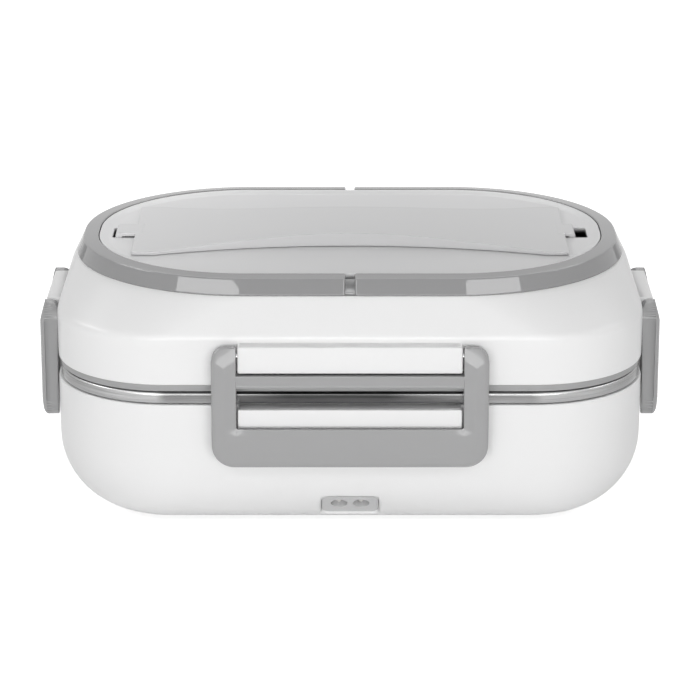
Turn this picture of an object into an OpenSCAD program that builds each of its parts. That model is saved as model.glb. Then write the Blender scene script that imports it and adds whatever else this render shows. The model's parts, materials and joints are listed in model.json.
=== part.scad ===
// Electric lunch box with a lift-off lid, a steel food container and four snap latches.
// Millimetres, +Z up, origin on the table below the middle of the body. The front is towards -Y.

/* [Body] */
// Length of the body over the plain walls
body_l = 238; // [198:1:286]
// Depth of the body over the plain walls
body_d = 166; // [138:1:200]
// Radius of the body's upright corners
corner_r = 46; // [42:0.5:52]
// Height of the base's top edge above the table
base_h = 57.4; // [50:0.1:69]
// Radius that rounds the base into its floor
base_round = 32; // [27:0.5:36]
// Wall of the outer shells
shell_wall = 2.4; // [2:0.1:3]
// Radius along the shells' seam edges
seam_edge = 0.7; // [0.4:0.1:1]

/* [Container] */
// Height of the steel rim that shows between base and lid
rim_h = 4.7; // [4:0.1:5.7]
// How far the rim's outside stands in from the body's wall
rim_inset = 1; // [0.6:0.1:1.6]
// Wall of the steel container
steel_wall = 0.8; // [0.6:0.1:1]
// How far the container's wall stands in from the body's wall
tub_inset = 9.3; // [9:0.1:11]
// Radius along the rim's outer edge
rim_edge = 1.3; // [1:0.1:1.6]
// Radius between the container's wall and floor
tub_round = 22; // [18:0.5:25]
// Height of the liner's floor above the table
liner_floor_z = 19; // [17:0.5:22]
// Wall of the liner that the container sits in
liner_wall = 1.8; // [1.5:0.1:2.4]

/* [Lid] */
// Height of the grey gasket band
gasket_h = 2.9; // [2.4:0.1:3.5]
// Height of the lid's upright wall
lid_wall_h = 19.7; // [17:0.1:23]
// Height of the sloped shoulder
shoulder_h = 14.7; // [12:0.1:17.6]
// How far the shoulder draws in at the two ends
shoulder_in_l = 5.7; // [5:0.1:8]
// How far the shoulder draws in at front and back
shoulder_in_d = 7.8; // [6.5:0.1:9.5]
// Straight run at each end of the lid's crown, on top of the shoulder
crown_flat = 8.4; // [4:0.2:18]
// Wall of the lid shell
lid_wall = 2.2; // [2:0.1:2.6]

/* [Trim ring] */
// Width of the ring in plan
ring_w = 9.1; // [7.6:0.1:10.9]
// Height of the ring's top above the crown
ring_h = 7; // [6:0.1:8.4]
// Width of the ring's sloped outer face
ring_slope_w = 3; // [2.5:0.1:3.6]
// Fall of the ring's top face towards the outside
ring_fall = 0.6; // [0.3:0.1:1]
// Gap between the two ring halves
ring_gap = 3.8; // [3:0.1:4.6]

/* [Top panel] */
// Depth of the panel's face below the ring's top
deck_drop = 1.6; // [1.2:0.1:2.2]
// Thickness of the panel
panel_t = 2.2; // [1.8:0.1:2.6]
// Length of the finger recess
recess_l = 92; // [78:1:100]
// Width of the finger recess
recess_w = 34; // [28:1:38]
// Depth of the finger recess
recess_deep = 6; // [5:0.5:8]

/* [Handle] */
// Length of the strap's wide plate
strap_l = 178; // [150:1:182]
// Width of the strap at its ends
strap_w = 71; // [60:0.5:74]
// Width of the strap at its waist
waist_w = 43; // [39:0.5:50]
// Length over which the strap is waisted
waist_l = 160; // [140:1:170]
// Thickness of the strap at its ends
strap_t = 1.5; // [1.3:0.1:2]
// Rise of the strap's middle
arch_h = 3.8; // [3:0.1:4.6]
// Wall of the hollow grip
grip_wall = 2; // [1.6:0.1:2.4]
// Distance of the bending lines from the middle
bend_x = 54; // [50:0.5:60]
// Width of the end tabs
tab_w = 14.6; // [12:0.1:16]
// Reach of the left tab beyond the strap
tab_reach_left = 8.2; // [4.4:0.1:8.5]
// Reach of the right tab beyond the strap
tab_reach_right = 4.4; // [3.6:0.1:8.5]
// Width of the foot that holds each tab under the panel
tab_foot_w = 22; // [19:0.5:26]

/* [Latches] */
// Width of the front and back latches
latch_w = 109.3; // [91:0.1:125]
// Width of the two end latches
end_latch_w = 62; // [52:0.1:70]
// Height of the latches' bottom edge
latch_bottom_z = 33.7; // [30:0.1:38]
// How far the latches stand out of the walls
latch_proud = 8.6; // [8:0.1:10]
// Corner radius of the latches
latch_r = 9; // [6:0.5:9.5]
// How far the arms' tops lean back
arm_lean = 2; // [1.5:0.1:2.4]
// Height of the arms' tops that lean back
arm_lean_h = 8; // [6:0.5:10]
// Height of the soft ridge along the arms and round the lower plate
ridge_t = 0.45; // [0.2:0.05:0.6]
// Radius along the latches' outer edge
latch_edge = 2.5; // [1.5:0.1:3]
// Width of the latches' arms
arm_w = 9.8; // [8:0.1:12]
// Height of the bar between lug and window
bar_h = 5.1; // [4:0.1:5.4]
// How far the lugs and catches stand out
lug_proud = 6.2; // [5.6:0.1:6.6]
// Radius of the hinge pins
pin_r = 1; // [0.8:0.05:1.2]
// Turn that presses a latch home, in degrees
press_turn = 1.6; // [1:0.1:2]

/* [Heating] */
// How far the heater plate's raised pad stays in from the front and back walls
pad_inset = 35; // [33:1:43]
// Length of the heating element
element_l = 66; // [55:1:79]
// Width of the heating element
element_w = 26; // [22:1:31]
// Thickness of the heating element
element_t = 5.5; // [4.6:0.1:6]

/* [Inlet and feet] */
// Width of the power inlet
inlet_w = 22.8; // [19:0.1:27]
// Height of the power inlet along the shell
inlet_h = 15; // [12.5:0.1:16]
// Turn of the inlet below the horizontal, in degrees
inlet_turn = 44; // [38:1:50]
// Spacing of the inlet's two pins
pin_pitch = 8.8; // [8:0.1:10]
// How far the feet stand below the base
foot_h = 1.2; // [1:0.1:2]
// Radius of a foot
foot_r = 8; // [6.5:0.5:9.5]

/* [Hidden] */
$fn = 96;
HULL_FN = 64;

// Clearances
seat_gap = 0.3;      // between pieces that part
side_gap = 0.6;      // round the lugs and catches
bore_gap = 0.05;     // round a turning pin
snug_gap = 0.03;     // round a fixed pin
tub_gap = 1.1;       // between container and liner
screw_gap = 0.2;     // round a screw's thread in a plain hole
head_gap = 0.3;      // round a screw's head
wire_gap = 0.15;     // between a wire's end and its pin
eps = 0.01;

// Levels
rim_z0 = base_h + seat_gap;
rim_z1 = rim_z0 + rim_h;
gasket_z0 = rim_z1 + seat_gap;
lid_z0 = gasket_z0 + gasket_h;
crease_z = lid_z0 + lid_wall_h;
crown_z = crease_z + shoulder_h;
ring_z1 = crown_z + ring_h;
deck_z = ring_z1 - deck_drop;
pad_z1 = liner_floor_z + liner_wall + seat_gap;
pad_r = body_d / 2 - pad_inset;
tub_z0 = pad_z1 + seat_gap;

// Crown, on top of the shoulder
crown_l2 = body_l / 2 - shoulder_in_l;
crown_d2 = body_d / 2 - shoulder_in_d;
crown_r = crown_d2 - crown_flat / 2;
flange_t = 1.5;
flange_in = 1.2;

// Liner and lid liner
liner_inset = tub_inset - tub_gap - liner_wall;
liner_round = tub_round + 1 + liner_wall;
gasket_inset = 0.9;
plug_inset = tub_inset + steel_wall + 0.7;
plug_t = 1.6;
plug_drop = 5.1;
lid_flange_t = 1.8;
ledge_w = 2;         // inside the lid shell, over its liner
ledge_t = 1.6;
hang_t = 1.8;        // flange that the base liner hangs from

// Latches, measured outwards from the wall
latch_top_z = crease_z - 2.1;
lug_front = 0.75;
latch_back_gap = 0.6;
slot_h = 11.4;       // from a latch's top down to its bar
pivot_out = lug_proud - lug_front - pin_r - snug_gap;
pivot_back = pivot_out - latch_back_gap;
pivot_z = latch_top_z - 4;
slot_z0 = latch_top_z - slot_h;
lean_z0 = latch_top_z - arm_lean_h;
lug_z0 = slot_z0 + side_gap;
window_z1 = slot_z0 - bar_h;
window_z0 = base_h - 7.4;
catch_lip_z = window_z0 + 0.4;
catch_z0 = window_z0 - 4;
hook_in = lug_proud + seat_gap;
catch_step = 1;
lug_edge = 1.2;
root = 1;            // how far a lug reaches into its wall
pin_wall = 3.2;      // arm left beyond a pin's hole
pin_play = 0.2;      // between a pin's end and its hole's end
ridge_in = min(arm_w / 2, latch_r - 0.5);
facet_turn = atan(ridge_t / (arm_w - ridge_in));
facet_w = (arm_w - ridge_in) / cos(facet_turn) / 2 + eps;
facet_run = 6;       // run-out at the lower end of the arms' inner facets

// Handle
strap_z0 = deck_z + seat_gap;
waist_cut_r = (pow(waist_l / 2, 2) + pow((strap_w - waist_w) / 2, 2)) / (strap_w - waist_w);
tab_neck = 2.5;
tab_foot_t = 1.8;
tab_play = 1;
slot_w = tab_w + 2 * seat_gap;
slot_x1 = strap_l / 2 + 9.5;
slot_x0 = strap_l / 2 - 6;
recess_r = 6;
recess_wall = 2;

// Screws and pillars
screw_x = body_l / 2 - corner_r;
screw_y = body_d / 2 - corner_r;
shell_floor_z = foot_h + shell_wall;
foot_seat = 1;
head_z0 = foot_h + foot_seat;
head_h = 2;
pillar_z1 = shell_floor_z + 3;
screw_r = 1.4;
head_r = 2.7;
trim_screw_in = lid_wall + head_r + head_gap;
seat_w = trim_screw_in + head_r + head_gap;
trim_screw_x = 10;
pillar_r = head_r + 2.6;
liner_pillar_r = 4;
thread_l = 10;
short_thread_l = 7;
thread_roof = 5;     // height of the ring's screw holes above the crown
foot_gap = 0.1;
foot_edge = 0.4;

// Heater stack, downwards from the liner's floor
heater_flange_t = 1.4;
element_z1 = liner_floor_z - heater_flange_t;
element_z0 = element_z1 - element_t;
mica_t = 0.8;
clamp_t = 1;
mica_margin = 1;
clamp_z1 = element_z0 - mica_t;
clamp_x = pad_r + 14;
clamp_w = 12;
clamp_rib_t = 1;
clamp_rib_h = 2;
heater_flange_w = 6;
tag_w = 4;           // flat terminals
tag_t = 0.8;
tag_l = 7;
side_part_y = element_w / 2 + 16;
thermostat_r = 7;
thermostat_h = 6;
thermostat_tag_l = 3;
fuse_r = 2;
fuse_l = 14;
lead_r = 0.6;
lead_l = 22;

// Inlet
well_r = 3.35;
well_deep = 9;
contact_r = 1.2;
contact_sunk = 2;
inlet_r = 3;
inlet_fit = 0.05;
inlet_sunk = 1.8;
inlet_deep = 12;
collar_t = 1.5;      // wall round the inlet, inside the shell
collar_deep = 11;
collar_in = 2.2;
pin_tail = 1.2;
contact_l = inlet_deep + pin_tail - inlet_sunk - contact_sunk;

// Wires inside the base
wire_r = 1;
wire_lead = 3;
wire_start = inlet_deep + pin_tail + wire_gap;

// Colours
white_c = [0.94, 0.94, 0.94];
pale_c = [0.8, 0.8, 0.81];
grey_c = [0.6, 0.6, 0.61];
steel_c = [0.76, 0.77, 0.78];
dark_c = [0.25, 0.25, 0.26];

function arch(x) = strap_z0 + strap_t + arch_h * pow(cos(90 * min(1, abs(x) / (strap_l / 2))), 2);

// Carries a profile round a rectangle with rounded corners. The profile's x is the distance
// from the corner's centre, and its y is the height.
module carried_round(half_l, half_d, r) {
    dx = half_l - r;
    dy = half_d - r;
    for (q = [0:3]) {
        sx = (q == 0 || q == 3) ? 1 : -1;
        sy = q < 2 ? 1 : -1;
        translate([sx * dx, sy * dy, 0]) rotate([0, 0, 90 * q])
            rotate_extrude(angle = 90) children();
    }
    for (turn = [0, 180]) rotate([0, 0, turn]) {
        translate([dx, dy, 0]) rotate([90, 0, 0]) linear_extrude(2 * dy) children();
        translate([-dx, dy, 0]) rotate([90, 0, 90]) linear_extrude(2 * dx) children();
    }
}

// Flat slab with rounded corners
module slab(half_l, half_d, r, z0, z1) {
    h = z1 - z0;
    translate([-half_l + r, -half_d, z0]) cube([2 * (half_l - r), 2 * half_d, h]);
    translate([-half_l, -half_d + r, z0]) cube([2 * half_l, 2 * (half_d - r), h]);
    for (sx = [-1, 1], sy = [-1, 1])
        translate([sx * (half_l - r), sy * (half_d - r), z0]) cylinder(r = r, h = h);
}

// Rectangle whose top right corner is rounded
module edged(w, h, edge) {
    square([w, h - edge]);
    square([w - edge, h]);
    translate([w - edge, h - edge]) circle(edge);
}

// Half section of a pan: upright wall, rounded edge and flat floor. The top edge may be rounded.
module pan_section(r, z0, z1, round_r, edge) {
    translate([0, z0 + round_r]) {
        if (edge > 0) edged(r, z1 - z0 - round_r, edge);
        else square([r, z1 - z0 - round_r]);
    }
    translate([0, z0]) square([r - round_r, round_r + eps]);
    intersection() {
        translate([r - round_r, z0 + round_r]) circle(round_r);
        translate([r - round_r - eps, z0]) square([round_r + eps, round_r + eps]);
    }
}

// Solid pan, set in from the body's outline
module pan(inset, z0, z1, round_r, edge = 0) {
    r = corner_r - inset;
    carried_round(body_l / 2 - inset, body_d / 2 - inset, r) pan_section(r, z0, z1, round_r, edge);
    translate([-(body_l / 2 - corner_r), -(body_d / 2 - corner_r), z0])
        cube([body_l - 2 * corner_r, body_d - 2 * corner_r, z1 - z0]);
}

// Band that follows the body's outline between two insets
module band(inset0, inset1, z0, z1) {
    carried_round(body_l / 2, body_d / 2, corner_r)
        translate([corner_r - inset1, z0]) square([inset1 - inset0, z1 - z0]);
}

module rounded_square(w, h, r) {
    translate([r, 0]) square([w - 2 * r, h]);
    translate([0, r]) square([w, h - 2 * r]);
    for (x = [r, w - r], y = [r, h - r]) translate([x, y]) circle(r);
}

// Side 0 is the front, 1 the back, 2 the left end and 3 the right end. The wall is the plane
// y = 0 there, and outwards is -y.
module on_side(side) {
    turn = [0, 180, -90, 90][side];
    reach = side < 2 ? body_d / 2 : body_l / 2;
    rotate([0, 0, turn]) translate([0, -reach, 0]) children();
}

function side_latch_w(side) = side < 2 ? latch_w : end_latch_w;
function gap_half(side) = side_latch_w(side) / 2 - arm_w;

// Extrudes a profile along the wall. Its x is the distance outwards and its y is the height.
module along_wall(half) {
    translate([half, 0, 0]) rotate([90, 0, -90]) linear_extrude(2 * half) children();
}

module screw(length) {
    cylinder(r = head_r, h = head_h);
    cylinder(r = screw_r, h = head_h + length);
}

module at_feet() {
    for (sx = [-1, 1], sy = [-1, 1]) translate([sx * screw_x, sy * screw_y, 0]) children();
}

// Origin on the shell's rounded front, +z straight out of it
module at_inlet() {
    translate([0, -body_d / 2 + base_round * (1 - cos(inlet_turn)),
               foot_h + base_round * (1 - sin(inlet_turn))])
        rotate([90 + inlet_turn, 0, 0]) children();
}

module inlet_block(grow, z0, z1) {
    translate([-inlet_w / 2 - grow, -inlet_h / 2 - grow, z0])
        linear_extrude(z1 - z0) rounded_square(inlet_w + 2 * grow, inlet_h + 2 * grow, inlet_r + grow);
}

module catch_lug(side) {
    half = gap_half(side) - side_gap;
    along_wall(half) {
        translate([-root, catch_lip_z]) edged(root + lug_proud, base_h - catch_lip_z, lug_edge);
        translate([-root, catch_z0]) square([root + lug_proud - catch_step, catch_lip_z - catch_z0 + 1]);
    }
}

module base_shell() {
    color(white_c) difference() {
        union() {
            difference() {
                pan(0, foot_h, base_h, base_round, seam_edge);
                pan(shell_wall, shell_floor_z, base_h + 1, base_round - shell_wall);
            }
            for (side = [0:3]) on_side(side) catch_lug(side);
            at_feet() translate([0, 0, shell_floor_z - 1])
                cylinder(r = pillar_r, h = pillar_z1 - shell_floor_z + 1);
            at_inlet() inlet_block(collar_t, -collar_deep, -collar_in);
        }
        at_feet() {
            cylinder(r = foot_r + foot_gap, h = head_z0);
            cylinder(r = head_r + head_gap, h = head_z0 + head_h + 2 * foot_gap);
            cylinder(r = screw_r + screw_gap, h = pillar_z1 + 1);
        }
        at_inlet() inlet_block(0, -inlet_deep - 1, 4);
    }
}

module base_liner() {
    inner = liner_inset + liner_wall;
    color(white_c) difference() {
        union() {
            pan(liner_inset, liner_floor_z, base_h, liner_round);
            band(shell_wall, inner + 1, base_h - hang_t, base_h);
            at_feet() translate([0, 0, pillar_z1])
                cylinder(r = liner_pillar_r, h = liner_floor_z - pillar_z1 + 1);
            for (sx = [-1, 1]) translate([sx * clamp_x, 0, clamp_z1])
                cylinder(r = liner_pillar_r, h = liner_floor_z - clamp_z1 + 1);
        }
        pan(inner, liner_floor_z + liner_wall, base_h + 1, liner_round - liner_wall);
        at_feet() cylinder(r = screw_r + bore_gap, h = liner_floor_z - 1);
        for (sx = [-1, 1]) translate([sx * clamp_x, 0, 0])
            cylinder(r = screw_r + bore_gap, h = liner_floor_z - 0.5);
        translate([0, 0, liner_floor_z - 1]) cylinder(r = pad_r + seat_gap, h = liner_wall + 2);
    }
}

module heater_plate() {
    color(steel_c) {
        translate([0, 0, element_z1]) cylinder(r = pad_r + heater_flange_w, h = heater_flange_t);
        translate([0, 0, liner_floor_z - eps]) cylinder(r = pad_r, h = pad_z1 - liner_floor_z + eps);
    }
}

module heating_element() {
    color("silver") {
        translate([-element_l / 2, -element_w / 2, element_z0])
            cube([element_l, element_w, element_t]);
        for (sx = [-1, 1])
            translate([sx * element_w / 4 - tag_w / 2, -element_w / 2 - tag_l + 1, element_z0 + 2])
                cube([tag_w, tag_l, tag_t]);
    }
}

module insulation_pad() {
    color("tan") translate([-element_l / 2 - mica_margin, -element_w / 2 - mica_margin, clamp_z1])
        cube([element_l + 2 * mica_margin, element_w + 2 * mica_margin, mica_t]);
}

module heater_clamp() {
    color(steel_c) translate([0, 0, clamp_z1 - clamp_t]) difference() {
        union() {
            translate([-clamp_x, -clamp_w / 2, 0]) cube([2 * clamp_x, clamp_w, clamp_t]);
            for (sx = [-1, 1]) translate([sx * clamp_x, 0, 0]) cylinder(r = clamp_w / 2, h = clamp_t);
            for (sy = [0, 1]) mirror([0, sy, 0])
                translate([-element_l / 2, clamp_w / 2 - clamp_rib_t, -clamp_rib_h])
                    cube([element_l, clamp_rib_t, clamp_rib_h + eps]);
        }
        for (sx = [-1, 1]) translate([sx * clamp_x, 0, -1])
            cylinder(r = screw_r + screw_gap, h = clamp_t + 2);
    }
}

module clamp_screws() {
    color(steel_c) for (sx = [-1, 1])
        translate([sx * clamp_x, 0, clamp_z1 - clamp_t - head_h]) screw(short_thread_l);
}

module thermostat() {
    color(dark_c) translate([0, side_part_y, element_z1 - thermostat_h]) {
        cylinder(r = thermostat_r, h = thermostat_h);
        for (sx = [0, 1]) mirror([sx, 0, 0])
            translate([thermostat_r - tag_w, -tag_t / 2, -thermostat_tag_l])
                cube([tag_w, tag_t, thermostat_tag_l + eps]);
    }
}

module thermal_fuse() {
    color("beige") translate([0, -side_part_y, element_z1 - fuse_r]) rotate([0, 90, 0]) {
        cylinder(r = fuse_r, h = fuse_l, center = true);
        cylinder(r = lead_r, h = lead_l, center = true);
    }
}

module power_inlet() {
    color(grey_c) at_inlet() difference() {
        inlet_block(-inlet_fit, -inlet_deep, -inlet_sunk);
        for (sx = [-1, 1]) translate([sx * pin_pitch / 2, 0, -inlet_sunk - well_deep])
            cylinder(r = well_r, h = well_deep + 1);
        for (sx = [-1, 1]) translate([sx * pin_pitch / 2, 0, -inlet_deep - 1])
            cylinder(r = contact_r + snug_gap, h = inlet_deep);
    }
}

module inlet_pins() {
    color("gold") at_inlet() for (sx = [-1, 1])
        translate([sx * pin_pitch / 2, 0, -inlet_deep - pin_tail]) {
            cylinder(r = contact_r, h = contact_l);
            translate([0, 0, contact_l]) sphere(contact_r);
        }
}

// Point on a smooth curve through the route, at t from 0 to the last index
function route_point(route, t) =
    let (n = len(route), i = min(floor(t), n - 2), u = t - i,
         p0 = route[max(i - 1, 0)], p1 = route[i], p2 = route[i + 1], p3 = route[min(i + 2, n - 1)])
    0.5 * (2 * p1 + (p2 - p0) * u + (2 * p0 - 5 * p1 + 4 * p2 - p3) * u * u
           + (3 * p1 - p0 - 3 * p2 + p3) * u * u * u);

function unit(v) = v / norm(v);

// Point straight behind one of the inlet's pins, at a depth below the shell's surface
function behind_inlet(x, depth) = [
    x,
    -body_d / 2 + base_round * (1 - cos(inlet_turn)) + depth * cos(inlet_turn),
    foot_h + base_round * (1 - sin(inlet_turn)) + depth * sin(inlet_turn)
];

// Tube swept along a route, as one closed skin
module wire(route, r) {
    sides = 10;
    steps = 6;
    last = (len(route) - 1) * steps;
    centres = [for (k = [0:last]) route_point(route, k / steps)];
    rings = [for (k = [0:last])
        let (along = unit(k == 0 ? route[1] - route[0] : centres[min(k + 1, last)] - centres[k - 1]),
             side = unit(cross([0, 0, 1], along)), up = cross(along, side))
        for (j = [0:sides - 1])
            centres[k] + r * (side * cos(360 * j / sides) + up * sin(360 * j / sides))];
    skin = [for (k = [0:last - 1], j = [0:sides - 1])
        let (a = k * sides + j, b = k * sides + (j + 1) % sides) [a, a + sides, b + sides, b]];
    first_cap = [[for (j = [0:sides - 1]) j]];
    last_cap = [[for (j = [0:sides - 1]) last * sides + sides - 1 - j]];
    polyhedron(rings, concat(skin, first_cap, last_cap), convexity = 6);
}

module live_wire() {
    color("brown") wire([
        behind_inlet(pin_pitch / 2, wire_start),
        behind_inlet(pin_pitch / 2, wire_start + wire_lead),
        [pin_pitch / 2 + 9, -body_d / 2 + 30, element_z0],
        [26, -element_w / 2 - 20, element_z0],
        [18, -element_w / 2 - 12, element_z0 + 1],
        [element_w / 4, -element_w / 2 - 7, element_z0 + 2.4]
    ], wire_r);
}

module neutral_wire() {
    color("royalblue") wire([
        behind_inlet(-pin_pitch / 2, wire_start),
        behind_inlet(-pin_pitch / 2, wire_start + wire_lead),
        [-pin_pitch / 2 - 9, -body_d / 2 + 30, element_z0],
        [-22, -element_w / 2 - 20, element_z0 + 1],
        [-18, -element_w / 2 - 16.5, element_z1 - 2],
        [-12, -element_w / 2 - 16, element_z1 - 2]
    ], wire_r);
}

module base_screws() {
    color(steel_c) at_feet() translate([0, 0, head_z0 + foot_gap]) screw(thread_l);
}

module foot() {
    color(dark_c) {
        translate([0, 0, foot_edge]) cylinder(r = foot_r, h = head_z0 - foot_edge);
        cylinder(r1 = foot_r - foot_edge, r2 = foot_r, h = foot_edge);
    }
}

module foot_front_left() { translate([-screw_x, -screw_y, 0]) foot(); }
module foot_front_right() { translate([screw_x, -screw_y, 0]) foot(); }
module foot_back_left() { translate([-screw_x, screw_y, 0]) foot(); }
module foot_back_right() { translate([screw_x, screw_y, 0]) foot(); }

// Turned-down rim of the container
module rim_section() {
    w = tub_inset + steel_wall - rim_inset;
    translate([corner_r - rim_inset - w, rim_z0]) difference() {
        edged(w, rim_h, rim_edge);
        translate([-eps, -eps]) edged(w - steel_wall + eps, rim_h - steel_wall + eps, rim_edge - steel_wall);
    }
}

module food_container() {
    inner = tub_inset + steel_wall;
    color(steel_c) difference() {
        union() {
            pan(tub_inset, tub_z0, rim_z1, tub_round);
            carried_round(body_l / 2, body_d / 2, corner_r) rim_section();
        }
        pan(inner, tub_z0 + steel_wall, rim_z1 + 1, tub_round - steel_wall);
    }
}

// Loft between the body's outline at z0 and the crown's outline at z1, both set in
module shoulder_loft(inset, z0, z1) {
    hull() {
        for (sx = [-1, 1], sy = [-1, 1]) {
            translate([sx * (body_l / 2 - corner_r), sy * (body_d / 2 - corner_r), z0])
                cylinder(r = corner_r - inset, h = eps, $fn = HULL_FN);
            translate([sx * (crown_l2 - crown_r), sy * (crown_d2 - crown_r), z1 - eps])
                cylinder(r = crown_r - inset, h = eps, $fn = HULL_FN);
        }
    }
}

module hinge_lug(side) {
    half = gap_half(side) - side_gap;
    difference() {
        along_wall(half) {
            translate([-root, lug_z0]) edged(root + lug_proud, latch_top_z - lug_z0, lug_edge);
        }
        translate([-half - 1, -pivot_out, pivot_z]) rotate([0, 90, 0])
            cylinder(r = pin_r + snug_gap, h = 2 * half + 2);
    }
}

module lid_shell() {
    color(white_c) difference() {
        union() {
            carried_round(body_l / 2, body_d / 2, corner_r) translate([corner_r - lid_wall, crease_z])
                mirror([0, 1]) edged(lid_wall, lid_wall_h, seam_edge);
            band(seam_edge, lid_wall + ledge_w, lid_z0 + lid_flange_t, lid_z0 + lid_flange_t + ledge_t);
            difference() {
                shoulder_loft(0, crease_z, crown_z);
                shoulder_loft(lid_wall, crease_z - 1, crown_z - lid_wall);
            }
            for (side = [0:3]) on_side(side) hinge_lug(side);
        }
        slab(crown_l2 - seat_w, crown_d2 - seat_w, crown_r - seat_w, crown_z - lid_wall - 1, crown_z + 1);
        at_trim_screws() cylinder(r = screw_r + screw_gap, h = ring_z1);
    }
}

module lid_liner() {
    r = corner_r;
    z0 = lid_z0 - plug_drop;
    color(white_c) {
        carried_round(body_l / 2, body_d / 2, r) polygon([
            [0, z0], [r - plug_inset, z0], [r - plug_inset, lid_z0], [r - lid_wall, lid_z0],
            [r - lid_wall, lid_z0 + lid_flange_t], [r - plug_inset - plug_t, lid_z0 + lid_flange_t],
            [r - plug_inset - plug_t, z0 + plug_t], [0, z0 + plug_t]
        ]);
        translate([-(body_l / 2 - r), -(body_d / 2 - r), z0])
            cube([body_l - 2 * r, body_d - 2 * r, plug_t]);
    }
}

module lid_gasket() {
    color(grey_c) band(gasket_inset, plug_inset, gasket_z0, lid_z0);
}

module tab_slots() {
    for (sx = [0, 1]) mirror([sx, 0, 0])
        translate([slot_x0, -slot_w / 2, deck_z - panel_t - 1])
            cube([slot_x1 - slot_x0, slot_w, panel_t + 2]);
}

module top_panel() {
    rim = ring_w + 0.3;
    inner = rim + 2;
    color(pale_c) difference() {
        union() {
            slab(crown_l2 - flange_in, crown_d2 - flange_in, crown_r - flange_in,
                 crown_z, crown_z + flange_t);
            slab(crown_l2 - rim, crown_d2 - rim, crown_r - rim, crown_z, deck_z);
        }
        difference() {
            slab(crown_l2 - inner, crown_d2 - inner, crown_r - inner, crown_z - 1, deck_z - panel_t);
            slab(recess_l / 2 + recess_wall, recess_w / 2 + recess_wall, recess_r + recess_wall,
                 deck_z - recess_deep - recess_wall, deck_z);
        }
        slab(recess_l / 2, recess_w / 2, recess_r, deck_z - recess_deep, deck_z + 1);
        tab_slots();
        at_trim_screws() cylinder(r = screw_r + screw_gap, h = crown_z + flange_t + 1);
    }
}

// Screws up through the lid's seat and the panel's flange into the ring halves
module at_trim_screws() {
    x_side = crown_l2 - trim_screw_in;
    y_side = crown_d2 - trim_screw_in;
    for (sx = [-1, 1]) {
        for (sy = [-1, 1], x = [trim_screw_x, crown_l2 - crown_r])
            translate([sx * x, sy * y_side, 0]) children();
        translate([sx * x_side, 0, 0]) children();
    }
}

module trim_screws() {
    color(steel_c) at_trim_screws() translate([0, 0, crown_z - lid_wall - head_h]) screw(short_thread_l);
}

module trim_ring() {
    r = crown_r;
    color(grey_c) difference() {
        carried_round(crown_l2, crown_d2, r) polygon([
            [r - ring_w, crown_z + flange_t], [r - flange_in + 0.1, crown_z + flange_t],
            [r - flange_in + 0.1, crown_z], [r, crown_z], [r - ring_slope_w, ring_z1 - ring_fall],
            [r - ring_w, ring_z1]
        ]);
        translate([-ring_gap / 2, -body_d, crown_z - 1]) cube([body_l, 2 * body_d, ring_h + 2]);
        at_trim_screws() cylinder(r = screw_r + bore_gap, h = crown_z + thread_roof);
    }
}

module trim_ring_left() { trim_ring(); }
module trim_ring_right() { mirror([1, 0, 0]) trim_ring(); }

module hinge_pin(side) {
    half = side_latch_w(side) / 2 - pin_wall - pin_play;
    color(steel_c) on_side(side) translate([-half, -pivot_out, pivot_z]) rotate([0, 90, 0])
        cylinder(r = pin_r, h = 2 * half);
}

module pin_front() { hinge_pin(0); }
module pin_back() { hinge_pin(1); }
module pin_left() { hinge_pin(2); }
module pin_right() { hinge_pin(3); }

// Snap latch in its wall's frame: a frame with two arms, a bar, a window and a thin lower plate
module latch(side) {
    w = side_latch_w(side);
    gap = gap_half(side);
    h = latch_top_z - latch_bottom_z;
    back = pivot_out - pivot_back;
    reach = body_l;
    color(grey_c) on_side(side) difference() {
        intersection() {
            translate([0, 0, latch_bottom_z + h / 2]) rotate([90, 0, 0])
                rounded_plate(w / 2, h / 2, latch_r, back, latch_proud, latch_edge, ridge_in, ridge_t);
            union() {
                translate([-w, -reach, 0]) cube([2 * w, reach, pivot_z]);
                translate([-w, -reach, 0]) cube([2 * w, reach - pivot_out, 2 * latch_top_z]);
                translate([-w, -pivot_out, pivot_z]) rotate([0, 90, 0]) cylinder(r = pivot_back, h = 2 * w);
            }
        }
        // Slot round the lid's lug, and the window
        translate([-gap, -reach, slot_z0]) cube([2 * gap, 2 * reach, h]);
        translate([-gap, -reach, window_z0]) cube([2 * gap, 2 * reach, window_z1 - window_z0]);
        // Room behind the lower plate, for the catch to pass as the lid lifts
        translate([-gap, -hook_in, latch_bottom_z - 1])
            cube([2 * gap, 2 * hook_in, window_z0 - latch_bottom_z + 2]);
        // Back of the arms, sloped so that the latch can be pressed home
        translate([0, -pivot_out, pivot_z]) rotate([-press_turn, 0, 0])
            translate([-w, pivot_back, -2 * h]) cube([2 * w, reach, 2 * h]);
        // Front of the arms' tops, which lean back
        translate([-w, -latch_proud, lean_z0]) rotate([-atan(arm_lean / (latch_top_z - lean_z0)), 0, 0])
            translate([0, -reach, -eps]) cube([2 * w, reach, h]);
        // Front of the bar, level with the arms' inner edges
        translate([-gap, -latch_proud - 1, window_z1 - 1]) cube([2 * gap, 1 + ridge_t, bar_h + 2]);
        for (sx = [0, 1]) mirror([sx, 0, 0]) {
            // Inner half of an arm's front, which falls from the ridge towards the slot
            translate([w / 2 - ridge_in, -latch_proud, window_z0]) rotate([0, 0, -facet_turn])
                translate([-facet_w, 0, 0]) along_wall(facet_w)
                    polygon([[0, 0], [1, -facet_run], [1, h], [0, h]]);
            translate([gap - 1, -pivot_out, pivot_z]) rotate([0, 90, 0])
                cylinder(r = pin_r + bore_gap, h = 1 + arm_w - pin_wall);
        }
    }
}

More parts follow.
